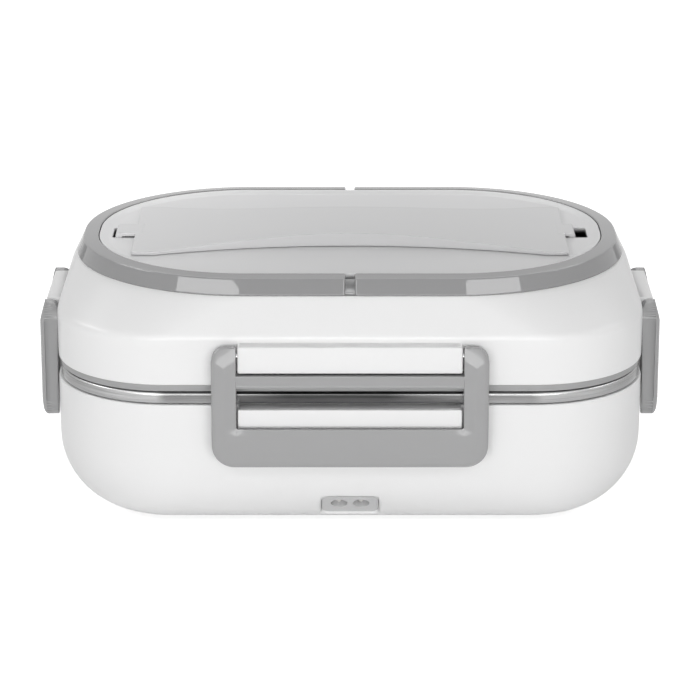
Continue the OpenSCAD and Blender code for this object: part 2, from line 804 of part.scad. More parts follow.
// Plate with rounded corners, lying between z0 and z1. From fall_w inside its outline its face
// falls by fall_t to a rounded edge.
module rounded_plate(half_l, half_d, r, z0, z1, edge, fall_w, fall_t) {
    z_edge = z1 - fall_t;
    carried_round(half_l, half_d, r) {
        translate([0, z0]) square([r, z_edge - z0 - edge]);
        polygon([[0, z0], [r - edge, z0], [r - edge, z_edge], [r - fall_w, z1], [0, z1]]);
        intersection() {
            translate([r - edge, z_edge - edge]) circle(edge);
            translate([r - edge - eps, z_edge - edge - eps]) square(edge + eps);
        }
    }
    translate([-(half_l - r), -(half_d - r), z0]) cube([2 * (half_l - r), 2 * (half_d - r), z1 - z0]);
}

module latch_front() { latch(0); }
module latch_back() { latch(1); }
module latch_left() { latch(2); }
module latch_right() { latch(3); }

// Waisted strap between x0 and x1, thinned all round by a wall
module strap(x0, x1, wall) {
    steps = 16;
    half = strap_w / 2 - wall;
    intersection() {
        difference() {
            translate([x0, -half, strap_z0 - 1]) cube([x1 - x0, 2 * half, arch_h + 10]);
            for (sy = [-1, 1]) translate([0, sy * (waist_w / 2 + waist_cut_r), strap_z0 - 2])
                cylinder(r = waist_cut_r + wall, h = arch_h + 14, $fn = 360);
        }
        translate([0, strap_w, 0]) rotate([90, 0, 0]) linear_extrude(2 * strap_w) polygon(concat(
            [[x1, strap_z0], [x0, strap_z0]],
            [for (i = [0:steps]) let (x = x0 + (x1 - x0) * i / steps) [x, arch(x) - wall]]
        ));
    }
}

module handle_grip() {
    half = bend_x - seat_gap / 2;
    color(pale_c) difference() {
        strap(-half, half, 0);
        translate([0, 0, -eps]) strap(-half + grip_wall, half - grip_wall, grip_wall);
    }
}

// Thin end of the strap, with a tab whose foot holds it under the panel
module handle_end(tab_reach) {
    reach = strap_l / 2 + tab_reach;
    foot_z1 = deck_z - panel_t - tab_play;
    color(pale_c) {
        strap(bend_x + seat_gap / 2, strap_l / 2, 0);
        translate([strap_l / 2 - 3, -tab_w / 2, strap_z0]) cube([tab_reach + 3, tab_w, strap_t]);
        translate([reach - tab_neck, -tab_w / 2, foot_z1 - eps])
            cube([tab_neck, tab_w, strap_z0 - foot_z1 + 2 * eps]);
        translate([reach - tab_neck, -tab_foot_w / 2, foot_z1 - tab_foot_t])
            cube([tab_neck, tab_foot_w, tab_foot_t]);
    }
}

module handle_end_left() { mirror([1, 0, 0]) handle_end(tab_reach_left); }
module handle_end_right() { handle_end(tab_reach_right); }

base_shell();
base_liner();
heater_plate();
heating_element();
insulation_pad();
heater_clamp();
clamp_screws();
thermostat();
thermal_fuse();
power_inlet();
inlet_pins();
live_wire();
neutral_wire();
base_screws();
foot_front_left();
foot_front_right();
foot_back_left();
foot_back_right();
food_container();
lid_shell();
lid_liner();
lid_gasket();
top_panel();
trim_ring_left();
trim_ring_right();
trim_screws();
pin_front();
pin_back();
pin_left();
pin_right();
latch_front();
latch_back();
latch_left();
latch_right();
handle_grip();
handle_end_left();
handle_end_right();
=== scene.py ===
"""Looks of an electric lunch box: its smooth outer pieces, its finishes and the studio it stands in.

Every length is in metres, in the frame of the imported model: +Z up, the front towards -Y.
"""

import json
import math

import bpy
import numpy as np
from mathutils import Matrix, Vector
from mathutils.geometry import delaunay_2d_cdt


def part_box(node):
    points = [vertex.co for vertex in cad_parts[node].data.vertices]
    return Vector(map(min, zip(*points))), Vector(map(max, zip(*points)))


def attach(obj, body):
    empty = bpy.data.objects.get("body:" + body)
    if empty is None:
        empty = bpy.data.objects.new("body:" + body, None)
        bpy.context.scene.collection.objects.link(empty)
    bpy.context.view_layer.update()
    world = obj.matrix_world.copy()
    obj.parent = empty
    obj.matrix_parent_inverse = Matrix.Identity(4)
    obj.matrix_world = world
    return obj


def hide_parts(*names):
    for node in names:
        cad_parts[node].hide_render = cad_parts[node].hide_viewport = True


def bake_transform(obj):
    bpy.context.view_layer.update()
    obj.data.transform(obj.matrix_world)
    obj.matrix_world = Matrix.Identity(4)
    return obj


bl_info = {
    "name": "Electric lunch box",
    "version": (1, 0, 0),
    "blender": (4, 5, 0),
    "location": "3D View > Sidebar > Lunch box",
    "description": "Makes the outer pieces, finishes and studio of an electric lunch box",
    "category": "Add Mesh",
}

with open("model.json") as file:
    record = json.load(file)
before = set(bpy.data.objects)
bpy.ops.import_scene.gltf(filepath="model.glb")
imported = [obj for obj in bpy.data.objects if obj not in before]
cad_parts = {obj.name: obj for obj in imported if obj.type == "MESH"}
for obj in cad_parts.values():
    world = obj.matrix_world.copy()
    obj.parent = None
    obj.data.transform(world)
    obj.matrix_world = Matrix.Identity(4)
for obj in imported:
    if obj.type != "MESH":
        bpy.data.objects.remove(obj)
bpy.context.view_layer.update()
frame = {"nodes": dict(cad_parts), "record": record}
MM = 0.001
PI = math.pi
WELD = 1e-8
SIDES = ("front", "back", "left", "right")
LID_WALL = 2.2 * MM
RIM_FOOT = 57.7 * MM    # lower edge of the container's turned-down rim
PRESS = math.radians(1.6)    # how far a closed latch can be pressed home
NO_POINTS = np.zeros((0, 2))


def high(node, axis):
    """Highest coordinate of a CAD node along an axis, 0 to 2."""
    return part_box(node)[1][axis]


def low(node, axis):
    """Lowest coordinate of a CAD node along an axis, 0 to 2."""
    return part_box(node)[0][axis]


# Settings


def length(label, about, default):
    """A size in metres."""
    return bpy.props.FloatProperty(name=label, description=about, default=default, unit="LENGTH",
                                   min=0, precision=5)


def colour(label, about, default):
    """A colour in linear light."""
    return bpy.props.FloatVectorProperty(name=label, description=about, default=default,
                                         subtype="COLOR", size=3, min=0, max=1)


def watts(label, default):
    """A lamp's power."""
    return bpy.props.FloatProperty(name=label, description="Power in watts", default=default, min=0, max=60)


class LunchBoxSizes(bpy.types.PropertyGroup):
    """Sizes of the pieces that are made here, in metres"""

    half_l: length("Half length", "Half the body's length over the plain walls",
                   high("lid_liner", 0) + LID_WALL)
    half_d: length("Half depth", "Half the body's depth over the plain walls",
                   high("lid_liner", 1) + LID_WALL)
    corner_r: length("Corner radius", "Radius of the body's upright corners", 46 * MM)
    crown_flat: length("Crown's flat", "Straight run at each end of the lid's crown", 8.4 * MM)
    soft_edge: length("Soft edge", "Radius along the shells' edges", 0.7 * MM)
    fine_edge: length("Fine edge", "Radius along the small pieces' edges", 0.35 * MM)
    lid_wall: length("Lid wall", "Wall of the lid shell", LID_WALL)
    ring_slope: length("Ring's slope", "Width of the ring's sloped outer face", 3 * MM)
    ring_w: length("Ring's width", "Width of the ring in plan", 9.1 * MM)
    ring_fall: length("Ring's fall", "Fall of the ring's top face towards the outside", 0.6 * MM)
    deck_dish: length("Panel's dish", "Width of the strip where the panel rises to the ring", 4.6 * MM)
    latch_r: length("Latch corner", "Corner radius of the latches", 9 * MM)
    latch_edge: length("Latch edge", "Radius along the latches' outer edge", 2.2 * MM)
    arm_w: length("Latch arm", "Width of the latches' arms", 9.8 * MM)
    arm_lean: length("Arm's lean", "How far the arms' tops lean back", 2 * MM)
    arm_lean_h: length("Lean's height", "Height of the arms' tops that lean back", 8 * MM)
    ridge: length("Ridge", "Height of the soft ridge along the arms and round the lower plate", 0.8 * MM)
    bar_h: length("Latch bar", "Height of the bar between lug and window", 5.1 * MM)
    slot_h: length("Slot", "From a latch's top down to its bar", 11.4 * MM)
    lug_gap: length("Lug gap", "Gap beside a lug or catch", 0.6 * MM)
    lug_proud: length("Lugs", "How far the lugs and catches stand out", 6.2 * MM)
    strap_w: length("Strap", "Width of the strap at its ends", 71 * MM)
    waist_w: length("Strap's waist", "Width of the strap at its waist", 43 * MM)
    waist_l: length("Waist's length", "Length over which the strap is waisted", 160 * MM)
    strap_l: length("Strap's length", "Length of the strap's wide plate", 178 * MM)
    strap_t: length("Strap's edge", "Thickness of the strap at its ends", 1.5 * MM)


class LunchBoxColours(bpy.types.PropertyGroup):
    """Colours of the finishes"""

    shell: colour("Shell", "White of the base and lid", (0.87, 0.87, 0.87))
    panel: colour("Panel", "Pale grey of the top panel", (0.7, 0.7, 0.704))
    strap: colour("Strap", "Pale grey of the handle", (0.64, 0.64, 0.644))
    ring: colour("Trim ring", "Grey of the trim ring", (0.26, 0.26, 0.263))
    latch: colour("Latches", "Grey of the latches", (0.37, 0.37, 0.373))
    gasket: colour("Gasket", "Grey of the gasket", (0.37, 0.37, 0.372))
    inlet: colour("Inlet", "Grey of the power inlet", (0.62, 0.62, 0.624))
    steel: colour("Steel", "Stainless steel", (0.45, 0.45, 0.456))


class LunchBoxStage(bpy.types.PropertyGroup):
    """Camera and lamps"""

    lens: bpy.props.FloatProperty(name="Lens", description="Focal length in millimetres on a 36 mm sensor",
                                  default=158.5, min=20, max=400)
    rise: bpy.props.FloatProperty(name="Rise", description="Camera's angle above the horizon",
                                  default=math.radians(17.6), subtype="ANGLE")
    distance: length("Distance", "From the camera to the middle of the box", 1.3)
    aim_z: length("Aim", "Height that the camera looks at", 54 * MM)
    fill: bpy.props.FloatProperty(name="Fill", description="Light from all round", default=0.25,
                                  min=0, max=1)
    left_power: watts("Left softbox", 1.3)
    right_power: watts("Right softbox", 1.1)
    front_power: watts("Front softbox", 9.5)
    top_power: watts("Top softbox", 1.2)
    back_power: watts("Back softbox", 3.5)
    left_side_power: watts("Left side softbox", 3.2)
    right_side_power: watts("Right side softbox", 2.0)


# Outlines and profiles


def latch_half(side):
    """Half the width of a side's latch."""
    return high("latch_front", 0) if side in ("front", "back") else high("latch_right", 1)


def smooth(x, start, stop):
    """Rises from 0 at start to 1 at stop, as 3 t^2 - 2 t^3 of the share t of the way."""
    t = np.clip((x - start) / (stop - start), 0, 1)
    return t * t * (3 - 2 * t)


def stops(step, *marks):
    """Ascending numbers through all marks, at most a step apart."""
    parts = [np.linspace(a, b, max(2, math.ceil((b - a) / step) + 1)) for a, b in zip(marks, marks[1:])]
    return np.unique(np.concatenate(parts))


def walk_round(arc=18, run=10, front=None):
    """Corner signs and outward normals on a walk round a rounded rectangle, anticlockwise.

    In corner q the normal turns from 90 q to 90 q + 90 degrees while the signs stay, and in the
    straight run after it the normal stays while the signs slide to the next corner's. The run
    along the front has steps of its own where front gives them, from 0 to 1.
    """
    corner = np.array([[1, 1], [-1, 1], [-1, -1], [1, -1]], float)
    turn = np.linspace(0, PI / 2, arc + 1)
    signs, angles = [], []
    for q in range(4):
        slide = np.linspace(0, 1, run + 1)[1:-1] if q != 2 or front is None else front
        signs += [np.repeat(corner[q][None], arc + 1, 0)]
        signs += [corner[q] + (corner[(q + 1) % 4] - corner[q]) * slide[:, None]]
        angles += [turn + q * PI / 2, np.full(len(slide), (q + 1) * PI / 2)]
    angle = np.concatenate(angles)
    return np.concatenate(signs), np.stack([np.cos(angle), np.sin(angle)], 1)


def rings(half_l, half_d, radius, height, arc=18, run=10, front=None):
    """Rows of a lofted form: row k is a rounded rectangle, half_l[k] by half_d[k], at height[k].

    Each point is the corner's centre plus the radius along the normal.
    """
    signs, normal = walk_round(arc, run, front)
    half_l, half_d, radius, height = np.broadcast_arrays(
        *map(np.atleast_1d, (half_l, half_d, radius, height)))
    core = np.stack([half_l - radius, half_d - radius], 1)[:, None] * signs[None]
    plan = core + radius[:, None, None] * normal[None]
    level = np.broadcast_to(height[:, None, None], plan.shape[:2] + (1,))
    return np.concatenate([plan, level], 2)


def carried(profile, half_l, half_d, radius, arc=18, run=10, front=None):
    """Carries a profile of (inset, height) points round a rounded rectangle.

    Each point's row is that rectangle drawn in by the inset, with its corners' radius smaller by
    as much, at the height.
    """
    inset, height = np.asarray(profile, float).T
    radius = np.maximum(radius - inset, 0.2 * MM)
    return rings(half_l - inset, half_d - inset, radius, height, arc, run, front)


def bend(centre, radius, start, stop, steps=6):
    """Points of an arc in a profile, from one angle to another in degrees."""
    t = np.radians(np.linspace(start, stop, steps + 1))
    return np.stack([centre[0] + radius * np.cos(t), centre[1] + radius * np.sin(t)], 1)


def round_corners(points, radii, arc=6):
    """An outline with its corners rounded, as (points, outward normals), for an anticlockwise
    outline or a clockwise hole.

    A corner of turn a and radius r starts r tan(a / 2) before its point. Its centre lies r off
    that start, on the inner side of the turn, and the normal turns through a.
    """
    corner = np.asarray(points, float)
    radii = np.broadcast_to(radii, len(corner))
    into = corner - np.roll(corner, 1, 0)
    into /= np.linalg.norm(into, axis=1)[:, None]
    out = np.roll(into, -1, 0)
    turn = np.arctan2(into[:, 0] * out[:, 1] - into[:, 1] * out[:, 0], (into * out).sum(1))
    way = np.sign(turn)
    start = corner - into * (radii * np.tan(abs(turn) / 2))[:, None]
    side = np.stack([into[:, 1], -into[:, 0]], 1)
    centre = start - side * (way * radii)[:, None]
    angle = turn[:, None] * np.linspace(0, 1, arc + 1)
    cos, sin = np.cos(angle), np.sin(angle)
    normal = np.stack([side[:, :1] * cos - side[:, 1:] * sin, side[:, :1] * sin + side[:, 1:] * cos], 2)
    placed = centre[:, None] + normal * (way * radii)[:, None, None]
    return placed.reshape(-1, 2), normal.reshape(-1, 2)


def divided(outline, step):
    """Adds points to an outline's straight runs, at most a step apart."""
    loop, normal = outline
    span = np.linalg.norm(np.roll(loop, -1, 0) - loop, axis=1)
    count = np.maximum(np.ceil(span / step).astype(int), 1)
    index = np.repeat(np.arange(len(loop)), count)
    share = (np.arange(count.sum()) - (np.cumsum(count) - count)[index]) / count[index]
    return [v[index] + (np.roll(v, -1, 0)[index] - v[index]) * share[:, None] for v in (loop, normal)]


def box_outline(x0, y0, x1, y1):
    """Corners of a rectangle, anticlockwise."""
    return [(x0, y0), (x1, y0), (x1, y1), (x0, y1)]


def depth_inside(flat, core, radius):
    """How far points lie inside a rounded rectangle about the origin.

    Past the corners' centres it is the radius less the distance from the centre, and elsewhere
    the radius plus the least way back to the centres' lines.
    """
    off = abs(flat) - core
    return radius - np.linalg.norm(np.maximum(off, 0), axis=-1) - np.minimum(off.max(-1), 0)


# Meshes


class Skin:
    """Points and faces gathered from grids and flat fills, then made into one mesh."""

    def __init__(self):
        self.points, self.faces, self.sharp, self.count = [], [], [], 0

    def add(self, points, *faces, sharp=False):
        """Adds points and faces. Sharp faces are shaded flat, apart from their neighbours."""
        points = np.asarray(points, float).reshape(-1, 3)
        start = self.count
        self.points.append(points)
        self.faces += [np.asarray(f) + start for f in faces]
        self.sharp += [sharp] * len(faces)
        self.count += len(points)
        return start

    def grid(self, rows, round_u=True, round_v=False, caps=False):
        """A grid of rows, closed round u and v as asked, with flat ends where caps is set."""
        rows = np.asarray(rows, float)
        high_v, wide_u = rows.shape[:2]
        index = np.arange(high_v * wide_u).reshape(high_v, wide_u)
        if round_u:
            index = np.concatenate([index, index[:, :1]], 1)
        if round_v:
            index = np.concatenate([index, index[:1]], 0)
        quads = np.stack([index[:-1, :-1], index[:-1, 1:], index[1:, 1:], index[1:, :-1]], 2)
        if caps:
            ring = np.arange(wide_u)[None]
            self.add(rows[0], ring[:, ::-1], sharp=True)
            self.add(rows[-1], ring, sharp=True)
        return self.add(rows, quads.reshape(-1, 4))

    def fill(self, loops, starts, place, depth, facing, inner=NO_POINTS):
        """Fills the flat region between an outer loop and its holes with triangles, through
        inner points where they are given.

        A triangle belongs to the region if a ray from its middle crosses all loops an odd
        number of times.
        """
        rim = sum(len(loop) for loop in loops)
        away = abs(inner[:, None] - np.concatenate(loops)[None]).max(2).min(1)
        flat = np.concatenate([*loops, inner[away > 0.2 * MM]])
        first = np.cumsum([0] + [len(loop) for loop in loops])
        edges = [(int(a + k), int(a + (k + 1) % (b - a))) for a, b in zip(first[:-1], first[1:])
                 for k in range(b - a)]
        made = delaunay_2d_cdt([Vector(p) for p in flat], edges, [], 1, 1e-7)
        source = np.array([ids[0] for ids in made[3]])
        faces = source[np.array(made[2])]
        middle = flat[faces].mean(1)[:, None]
        from_, to = (np.concatenate([np.roll(loop, k, 0) for loop in loops]) for k in (0, -1))
        span = (from_[:, 1] > middle[..., 1]) != (to[:, 1] > middle[..., 1])
        rise = np.where(to[:, 1] == from_[:, 1], 1, to[:, 1] - from_[:, 1])
        hit = from_[:, 0] + (to[:, 0] - from_[:, 0]) * (middle[..., 1] - from_[:, 1]) / rise
        faces = faces[(span & (middle[..., 0] < hit)).sum(1) % 2 == 1]
        used = np.unique(faces[faces >= rim])
        start = self.add(place(flat[used], np.full(len(used), depth))) if len(used) else 0
        index = np.zeros(len(flat), int)
        index[:rim] = np.concatenate([s + np.arange(len(loop)) for s, loop in zip(starts, loops)])
        index[used] = start + np.arange(len(used))
        self.add(np.zeros((0, 3)), index[faces if facing > 0 else faces[:, ::-1]] - self.count)

    def plate(self, loops, back, front, back_edge, front_edge, place, arc=5, inner=NO_POINTS):
        """A flat plate with rounded edges, between two depths.

        Every loop is carried from the back face to the front one. At angle t of an edge of radius
        e it is drawn in along its normals by e (1 - cos t), and lies e (1 - sin t) short of the
        face.
        """
        t = np.linspace(0, PI / 2, arc + 1)
        backs, fronts, first, last = [], [], [], []
        for loop, normal in loops:
            e0 = np.broadcast_to(back_edge(loop) if callable(back_edge) else back_edge, len(loop))
            e1 = np.broadcast_to(front_edge(loop) if callable(front_edge) else front_edge, len(loop))
            draw = np.concatenate([np.outer(1 - np.cos(t[::-1]), e0), np.outer(1 - np.cos(t), e1)])
            depth = np.concatenate([back + np.outer(1 - np.sin(t[::-1]), e0),
                                    front - np.outer(1 - np.sin(t), e1)])
            flat = loop[None] - normal[None] * draw[:, :, None]
            start = self.grid(place(flat, depth))
            first.append(start)
            last.append(start + (len(flat) - 1) * len(loop))
            backs.append(flat[0])
            fronts.append(flat[-1])
        self.fill(backs, first, place, back, -1)
        self.fill(fronts, last, place, front, 1, inner)

    @staticmethod
    def without_repeats(faces):
        """Faces without corners that fell on their next one, grouped by the corners left."""
        repeat = faces == np.roll(faces, -1, 1)
        count = repeat.sum(1)
        return [faces[count == k][~repeat[count == k]].reshape(-1, faces.shape[1] - k)
                for k in np.unique(count) if faces.shape[1] - k > 2]

    def make(self, name):
        """Builds the mesh object, with normals weighted by the faces' areas.

        A face counts with the sum of the cross products of its fan's spokes, which is twice its
        area vector. A point's normal is the sum of these for the faces round it that aren't sharp.
        """
        points = np.concatenate(self.points)
        _, kept, same = np.unique(np.round(points / WELD).astype(np.int64), axis=0,
                                  return_index=True, return_inverse=True)
        points, same = points[kept], same.ravel()
        whole = [(part, sharp) for faces, sharp in zip(self.faces, self.sharp)
                 for part in self.without_repeats(same[faces])]
        normal, areas = np.zeros_like(points), []
        for faces, sharp in whole:
            spokes = points[faces[:, 1:]] - points[faces[:, :1]]
            area = np.cross(spokes[:, :-1], spokes[:, 1:]).sum(1)
            areas.append(np.repeat(area, faces.shape[1], 0))
            if not sharp:
                np.add.at(normal, faces.ravel(), areas[-1])
        shading = np.concatenate([area if sharp else normal[faces.ravel()]
                                  for (faces, sharp), area in zip(whole, areas)])
        shading /= np.maximum(np.linalg.norm(shading, axis=1), 1e-20)[:, None]
        whole = [faces for faces, _ in whole]
        sizes = np.concatenate([np.full(len(f), f.shape[1]) for f in whole])
        corners = np.concatenate([f.ravel() for f in whole])
        mesh = bpy.data.meshes.new(name)
        mesh.vertices.add(len(points))
        mesh.vertices.foreach_set("co", points.ravel())
        mesh.loops.add(len(corners))
        mesh.loops.foreach_set("vertex_index", corners.astype(np.int32))
        mesh.polygons.add(len(sizes))
        mesh.polygons.foreach_set("loop_start", (np.cumsum(sizes) - sizes).astype(np.int32))
        mesh.update(calc_edges=True)
        if mesh.validate():
            raise ValueError(name + " has faces that Blender can't use")
        mesh.polygons.foreach_set("use_smooth", np.ones(len(sizes), bool))
        mesh.normals_split_custom_set(shading)
        piece = bpy.data.objects.new(name, mesh)
        bpy.context.scene.collection.objects.link(piece)
        return piece


def lying(flat, depth):
    """Places plan points (x, y) at a height."""
    return np.concatenate([flat, np.broadcast_to(depth, flat.shape[:-1])[..., None]], -1)


def on_side(side, sizes):
    """Places points of a wall: x runs along it to the right, y up it, and depth stands out of it.

    A point is x along + y up + (the wall's reach + depth) out.
    """
    turn = {"front": 0, "right": PI / 2, "back": PI, "left": -PI / 2}[side]
    reach = sizes.half_d if side in ("front", "back") else sizes.half_l
    along = np.array([math.cos(turn), math.sin(turn), 0])
    out = np.array([math.sin(turn), -math.cos(turn), 0])

    def place(flat, depth):
        """Points in space for points of the wall's plane, at a depth."""
        depth = np.broadcast_to(depth, flat.shape[:-1])[..., None]
        return flat[..., :1] * along + flat[..., 1:] * [0, 0, 1] + (reach + depth) * out

    return place


# Finishes


class Value:
    """A shader socket that takes part in arithmetic: each operation adds a Math node."""

    def __init__(self, nodes, socket):
        self.nodes, self.socket = nodes, socket

    def _math(self, operation, *values):
        """Adds a Math node."""
        made = self.nodes.node("ShaderNodeMath", {"operation": operation}, dict(enumerate(values)))
        return Value(self.nodes, made.outputs[0])

    def __add__(self, other):
        return self._math("ADD", self, other)

    def __sub__(self, other):
        return self._math("SUBTRACT", self, other)

    def __rsub__(self, other):
        return self._math("SUBTRACT", other, self)

    def __mul__(self, other):
        return self._math("MULTIPLY", self, other)

    def beyond(self, limit):
        """How far the value's size is over a limit, or 0."""
        return self._math("MAXIMUM", self._math("SUBTRACT", self._math("ABSOLUTE", self), limit), 0)

    def clipped(self):
        """The value, kept between 0 and 1."""
        return self._math("MAXIMUM", self._math("MINIMUM", self, 1), 0)

    __radd__, __rmul__ = __add__, __mul__


class Nodes:
    """A node tree, with one way to add a node."""

    def __init__(self, tree):
        self.tree = tree

    def node(self, kind, settings=None, sockets=None):
        """Adds a node: first its settings, then its sockets' values or links."""
        made = self.tree.nodes.new(kind)
        for name, value in (settings or {}).items():
            if name == "stops":
                ramp = made.color_ramp.elements
                while len(ramp) < len(value):
                    ramp.new(1)
                for stop, (position, shade) in zip(ramp, value):
                    stop.position, stop.color = position, shade
            else:
                setattr(made, name, value)
        for name, value in (sockets or {}).items():
            self.feed(made.inputs[name], value)
        return made

    def feed(self, socket, value):
        """Links a socket to another one, or gives it a value."""
        value = value.socket if isinstance(value, Value) else value
        if isinstance(value, bpy.types.NodeSocket):
            self.tree.links.new(value, socket)
        else:
            socket.default_value = value

    def rays(self, *kinds):
        """For each kind of ray, 1 where the light path is one, and 0 elsewhere."""
        path = self.node("ShaderNodeLightPath")
        return [Value(self, path.outputs[f"Is {kind} Ray"]) for kind in kinds]


class Finish(Nodes):
    """One procedural material round a Principled shader."""

    def __init__(self, name, **sockets):
        self.material = bpy.data.materials.new(name)
        self.material.use_nodes = True
        super().__init__(self.material.node_tree)
        self.shader = self.tree.nodes["Principled BSDF"]
        self.set(**sockets)
        self.place = self.node("ShaderNodeTexCoord").outputs["Object"]

    def xyz(self):
        """The Object coordinates, one by one."""
        parted = self.node("ShaderNodeSeparateXYZ", None, {0: self.place})
        return [Value(self, parted.outputs[axis]) for axis in "XYZ"]

    def noise(self, scale, detail=2, stretch=(1, 1, 1), rough=0.5):
        """Noise from 0 to 1 on Object coordinates, with about scale lumps to the metre."""
        spot = self.node("ShaderNodeMapping", None, {"Vector": self.place, "Scale": stretch})
        made = self.node("ShaderNodeTexNoise", None, {
            "Vector": spot.outputs[0], "Scale": scale, "Detail": detail, "Roughness": rough})
        return Value(self, made.outputs["Fac"])

    def mix(self, share, first, second):
        """Colour between two colours, or sockets, by a share."""
        made = self.node("ShaderNodeMix", {"data_type": "RGBA"},
                         {0: share, 6: self._rgba(first), 7: self._rgba(second)})
        return made.outputs[2]

    @staticmethod
    def _rgba(shade):
        """A colour with its alpha, or the socket as it is."""
        return shade if isinstance(shade, bpy.types.NodeSocket) else (*shade[:3], 1)

    def set(self, **sockets):
        """Feeds the shader's own sockets."""
        for name, value in sockets.items():
            self.feed(self.shader.inputs[name.replace("_", " ")], value)

    def bump(self, height, distance):
        """Raises the surface's grain by a height from 0 to 1 times a distance."""
        made = self.node("ShaderNodeBump", None, {"Height": height, "Distance": distance, "Strength": 1.0})
        self.set(Normal=made.outputs[0])


def tinted(shade, by):
    """A colour made lighter or darker by a share."""
    return tuple(min(1.0, c * (1 + by)) for c in shade)


def moulded(name, shade, roughness, grain=0.004 * MM, mottle=0.012, uneven=0.06, shine=0.5, painted_light=False):
    """Moulded plastic: a faint mottle from the melt, a slightly uneven gloss and a fine grain.

    It may carry painted light instead of the mottle: a broad gradient of light and shade painted into its
    colour. It is painted paler towards the back, the left and both ends, by the share 20 x^2 - 1.8 x + 3.2
    y + 0.5 with x and y in metres.
    """
    made = Finish(name, IOR=1.49, Specular_IOR_Level=shine)
    melt = made.noise(22, 3)
    speck = made.noise(900, 2)
    # Painted light: the colour is painted paler towards the back, the left and both ends, in place of how
    # the light falls
    if painted_light:
        x, y, _ = made.xyz()
        share, spread = ((x * x * 10 - x * 0.9 + y * 1.6) * 2 + 0.5).clipped(), 0.25
    else:
        share, spread = melt * 0.7 + speck * 0.3, mottle
    made.set(Base_Color=made.mix(share, tinted(shade, -spread), tinted(shade, spread)))
    made.set(Roughness=(melt * 0.5 + speck * 0.5 - 0.5) * uneven + roughness)
    made.bump(made.noise(2600, 3, rough=0.6), grain)
    return made.material


def rubbery(name, shade, roughness=0.55):
    """Silicone or rubber: matt, with a soft grain and a little dust in its colour."""
    made = Finish(name, IOR=1.42, Specular_IOR_Level=0.4)
    dust = made.noise(160, 4)
    made.set(Base_Color=made.mix(dust, tinted(shade, -0.06), tinted(shade, 0.08)))
    made.set(Roughness=(dust - 0.5) * 0.12 + roughness)
    made.bump(made.noise(1800, 3), 0.01 * MM)
    return made.material


def drawn_steel(name, shade, roughness=0.2, stretch=(1, 1, 60), rim=None):
    """Polished steel, with fine marks left by drawing along its length and soft smears.

    A rim, given by its corners' centres, the radius about them and its foot, gets a painted reflection:
    bands laid into its colour.
    """
    made = Finish(name, Metallic=1.0)
    lines = made.noise(45, 5, stretch, 0.65)
    smear = made.noise(26, 2)
    tone = made.mix(lines, tinted(shade, -0.1), tinted(shade, 0.08))
    if rim:
        # Painted reflection: bright and dark bands of the studio laid into the rim's colour
        tone = painted_reflection(made, tone, lines, *rim)
    made.set(Base_Color=tone)
    made.set(Roughness=(lines - 0.5) * 0.12 + (smear - 0.5) * 0.08 + roughness)
    made.bump(lines, 0.008 * MM)
    return made.material


def painted_reflection(made, tone, lines, core_x, core_y, reach, foot):
    """Paints a reflection along x into a rim's tone: bright and dark bands laid into its colour.

    With a and b for how far |x| and |y| are beyond the corners' centres, they show by the share
    (a^2 + b^2 - reach^2) / (2 reach) in millimetres, times 0.3 + 0.7 h / 2.6 at a height of h
    millimetres over the foot, each clipped to 1.
    """
    x, y, z = made.xyz()
    along = x * (0.5 / STEEL_REACH) + (lines - 0.5) * 0.03 + 0.5
    bands = made.node("ShaderNodeValToRGB", {"stops": [
        (0.5 + 0.5 * at * MM / STEEL_REACH, (level, level, level, 1)) for at, level in STEEL_REFLECTION_BANDS]},
        {0: along})
    streaks = made.mix((lines - 0.35) * 2.4, (0.7, 0.7, 0.7), (1.15, 1.15, 1.15))
    streaked = made.node("ShaderNodeMix", {"data_type": "RGBA", "blend_type": "MULTIPLY"},
                         {0: 1.0, 6: bands.outputs[0], 7: streaks})
    over_x, over_y = x.beyond(core_x), y.beyond(core_y)
    outside = (over_x * over_x + over_y * over_y - reach ** 2) * (1 / (2 * reach * MM))
    height = (z - foot) * (0.7 / (2.6 * MM)) + 0.3
    return made.mix(outside.clipped() * height.clipped(), tone, streaked.outputs[2])


def cast_metal(name, shade, roughness=0.4, metallic=1.0):
    """Plain metal with a turned or rolled grain."""
    made = Finish(name, Metallic=metallic)
    grain = made.noise(420, 4)
    made.set(Base_Color=made.mix(grain, tinted(shade, -0.1), tinted(shade, 0.08)))
    made.set(Roughness=(grain - 0.5) * 0.2 + roughness)
    made.bump(grain, 0.012 * MM)
    return made.material


def flecked(name, shade, dark, roughness=0.7):
    """Pressed mica or sleeving: flecks of two tones with a rough face."""
    made = Finish(name, IOR=1.5)
    fleck = made.noise(700, 5, rough=0.7)
    made.set(Base_Color=made.mix(fleck, dark, shade))
    made.set(Roughness=(fleck - 0.5) * 0.2 + roughness)
    made.bump(fleck, 0.03 * MM)
    return made.material


FINISHES = {}

# Painted reflection on the steel rim, laid into its colour: a softbox near either end, and a dark room
# between them. Each pair is a place along the rim in millimetres and a tone.
STEEL_REACH = 120 * MM
STEEL_REFLECTION_BANDS = (
    (-112, 0.4), (-90, 0.65), (-77, 0.65), (-73, 0.3), (-60, 0.3), (-25, 0.08),
    (15, 0.08), (45, 0.33), (72, 0.4), (76, 0.6), (92, 0.6), (112, 0.4))


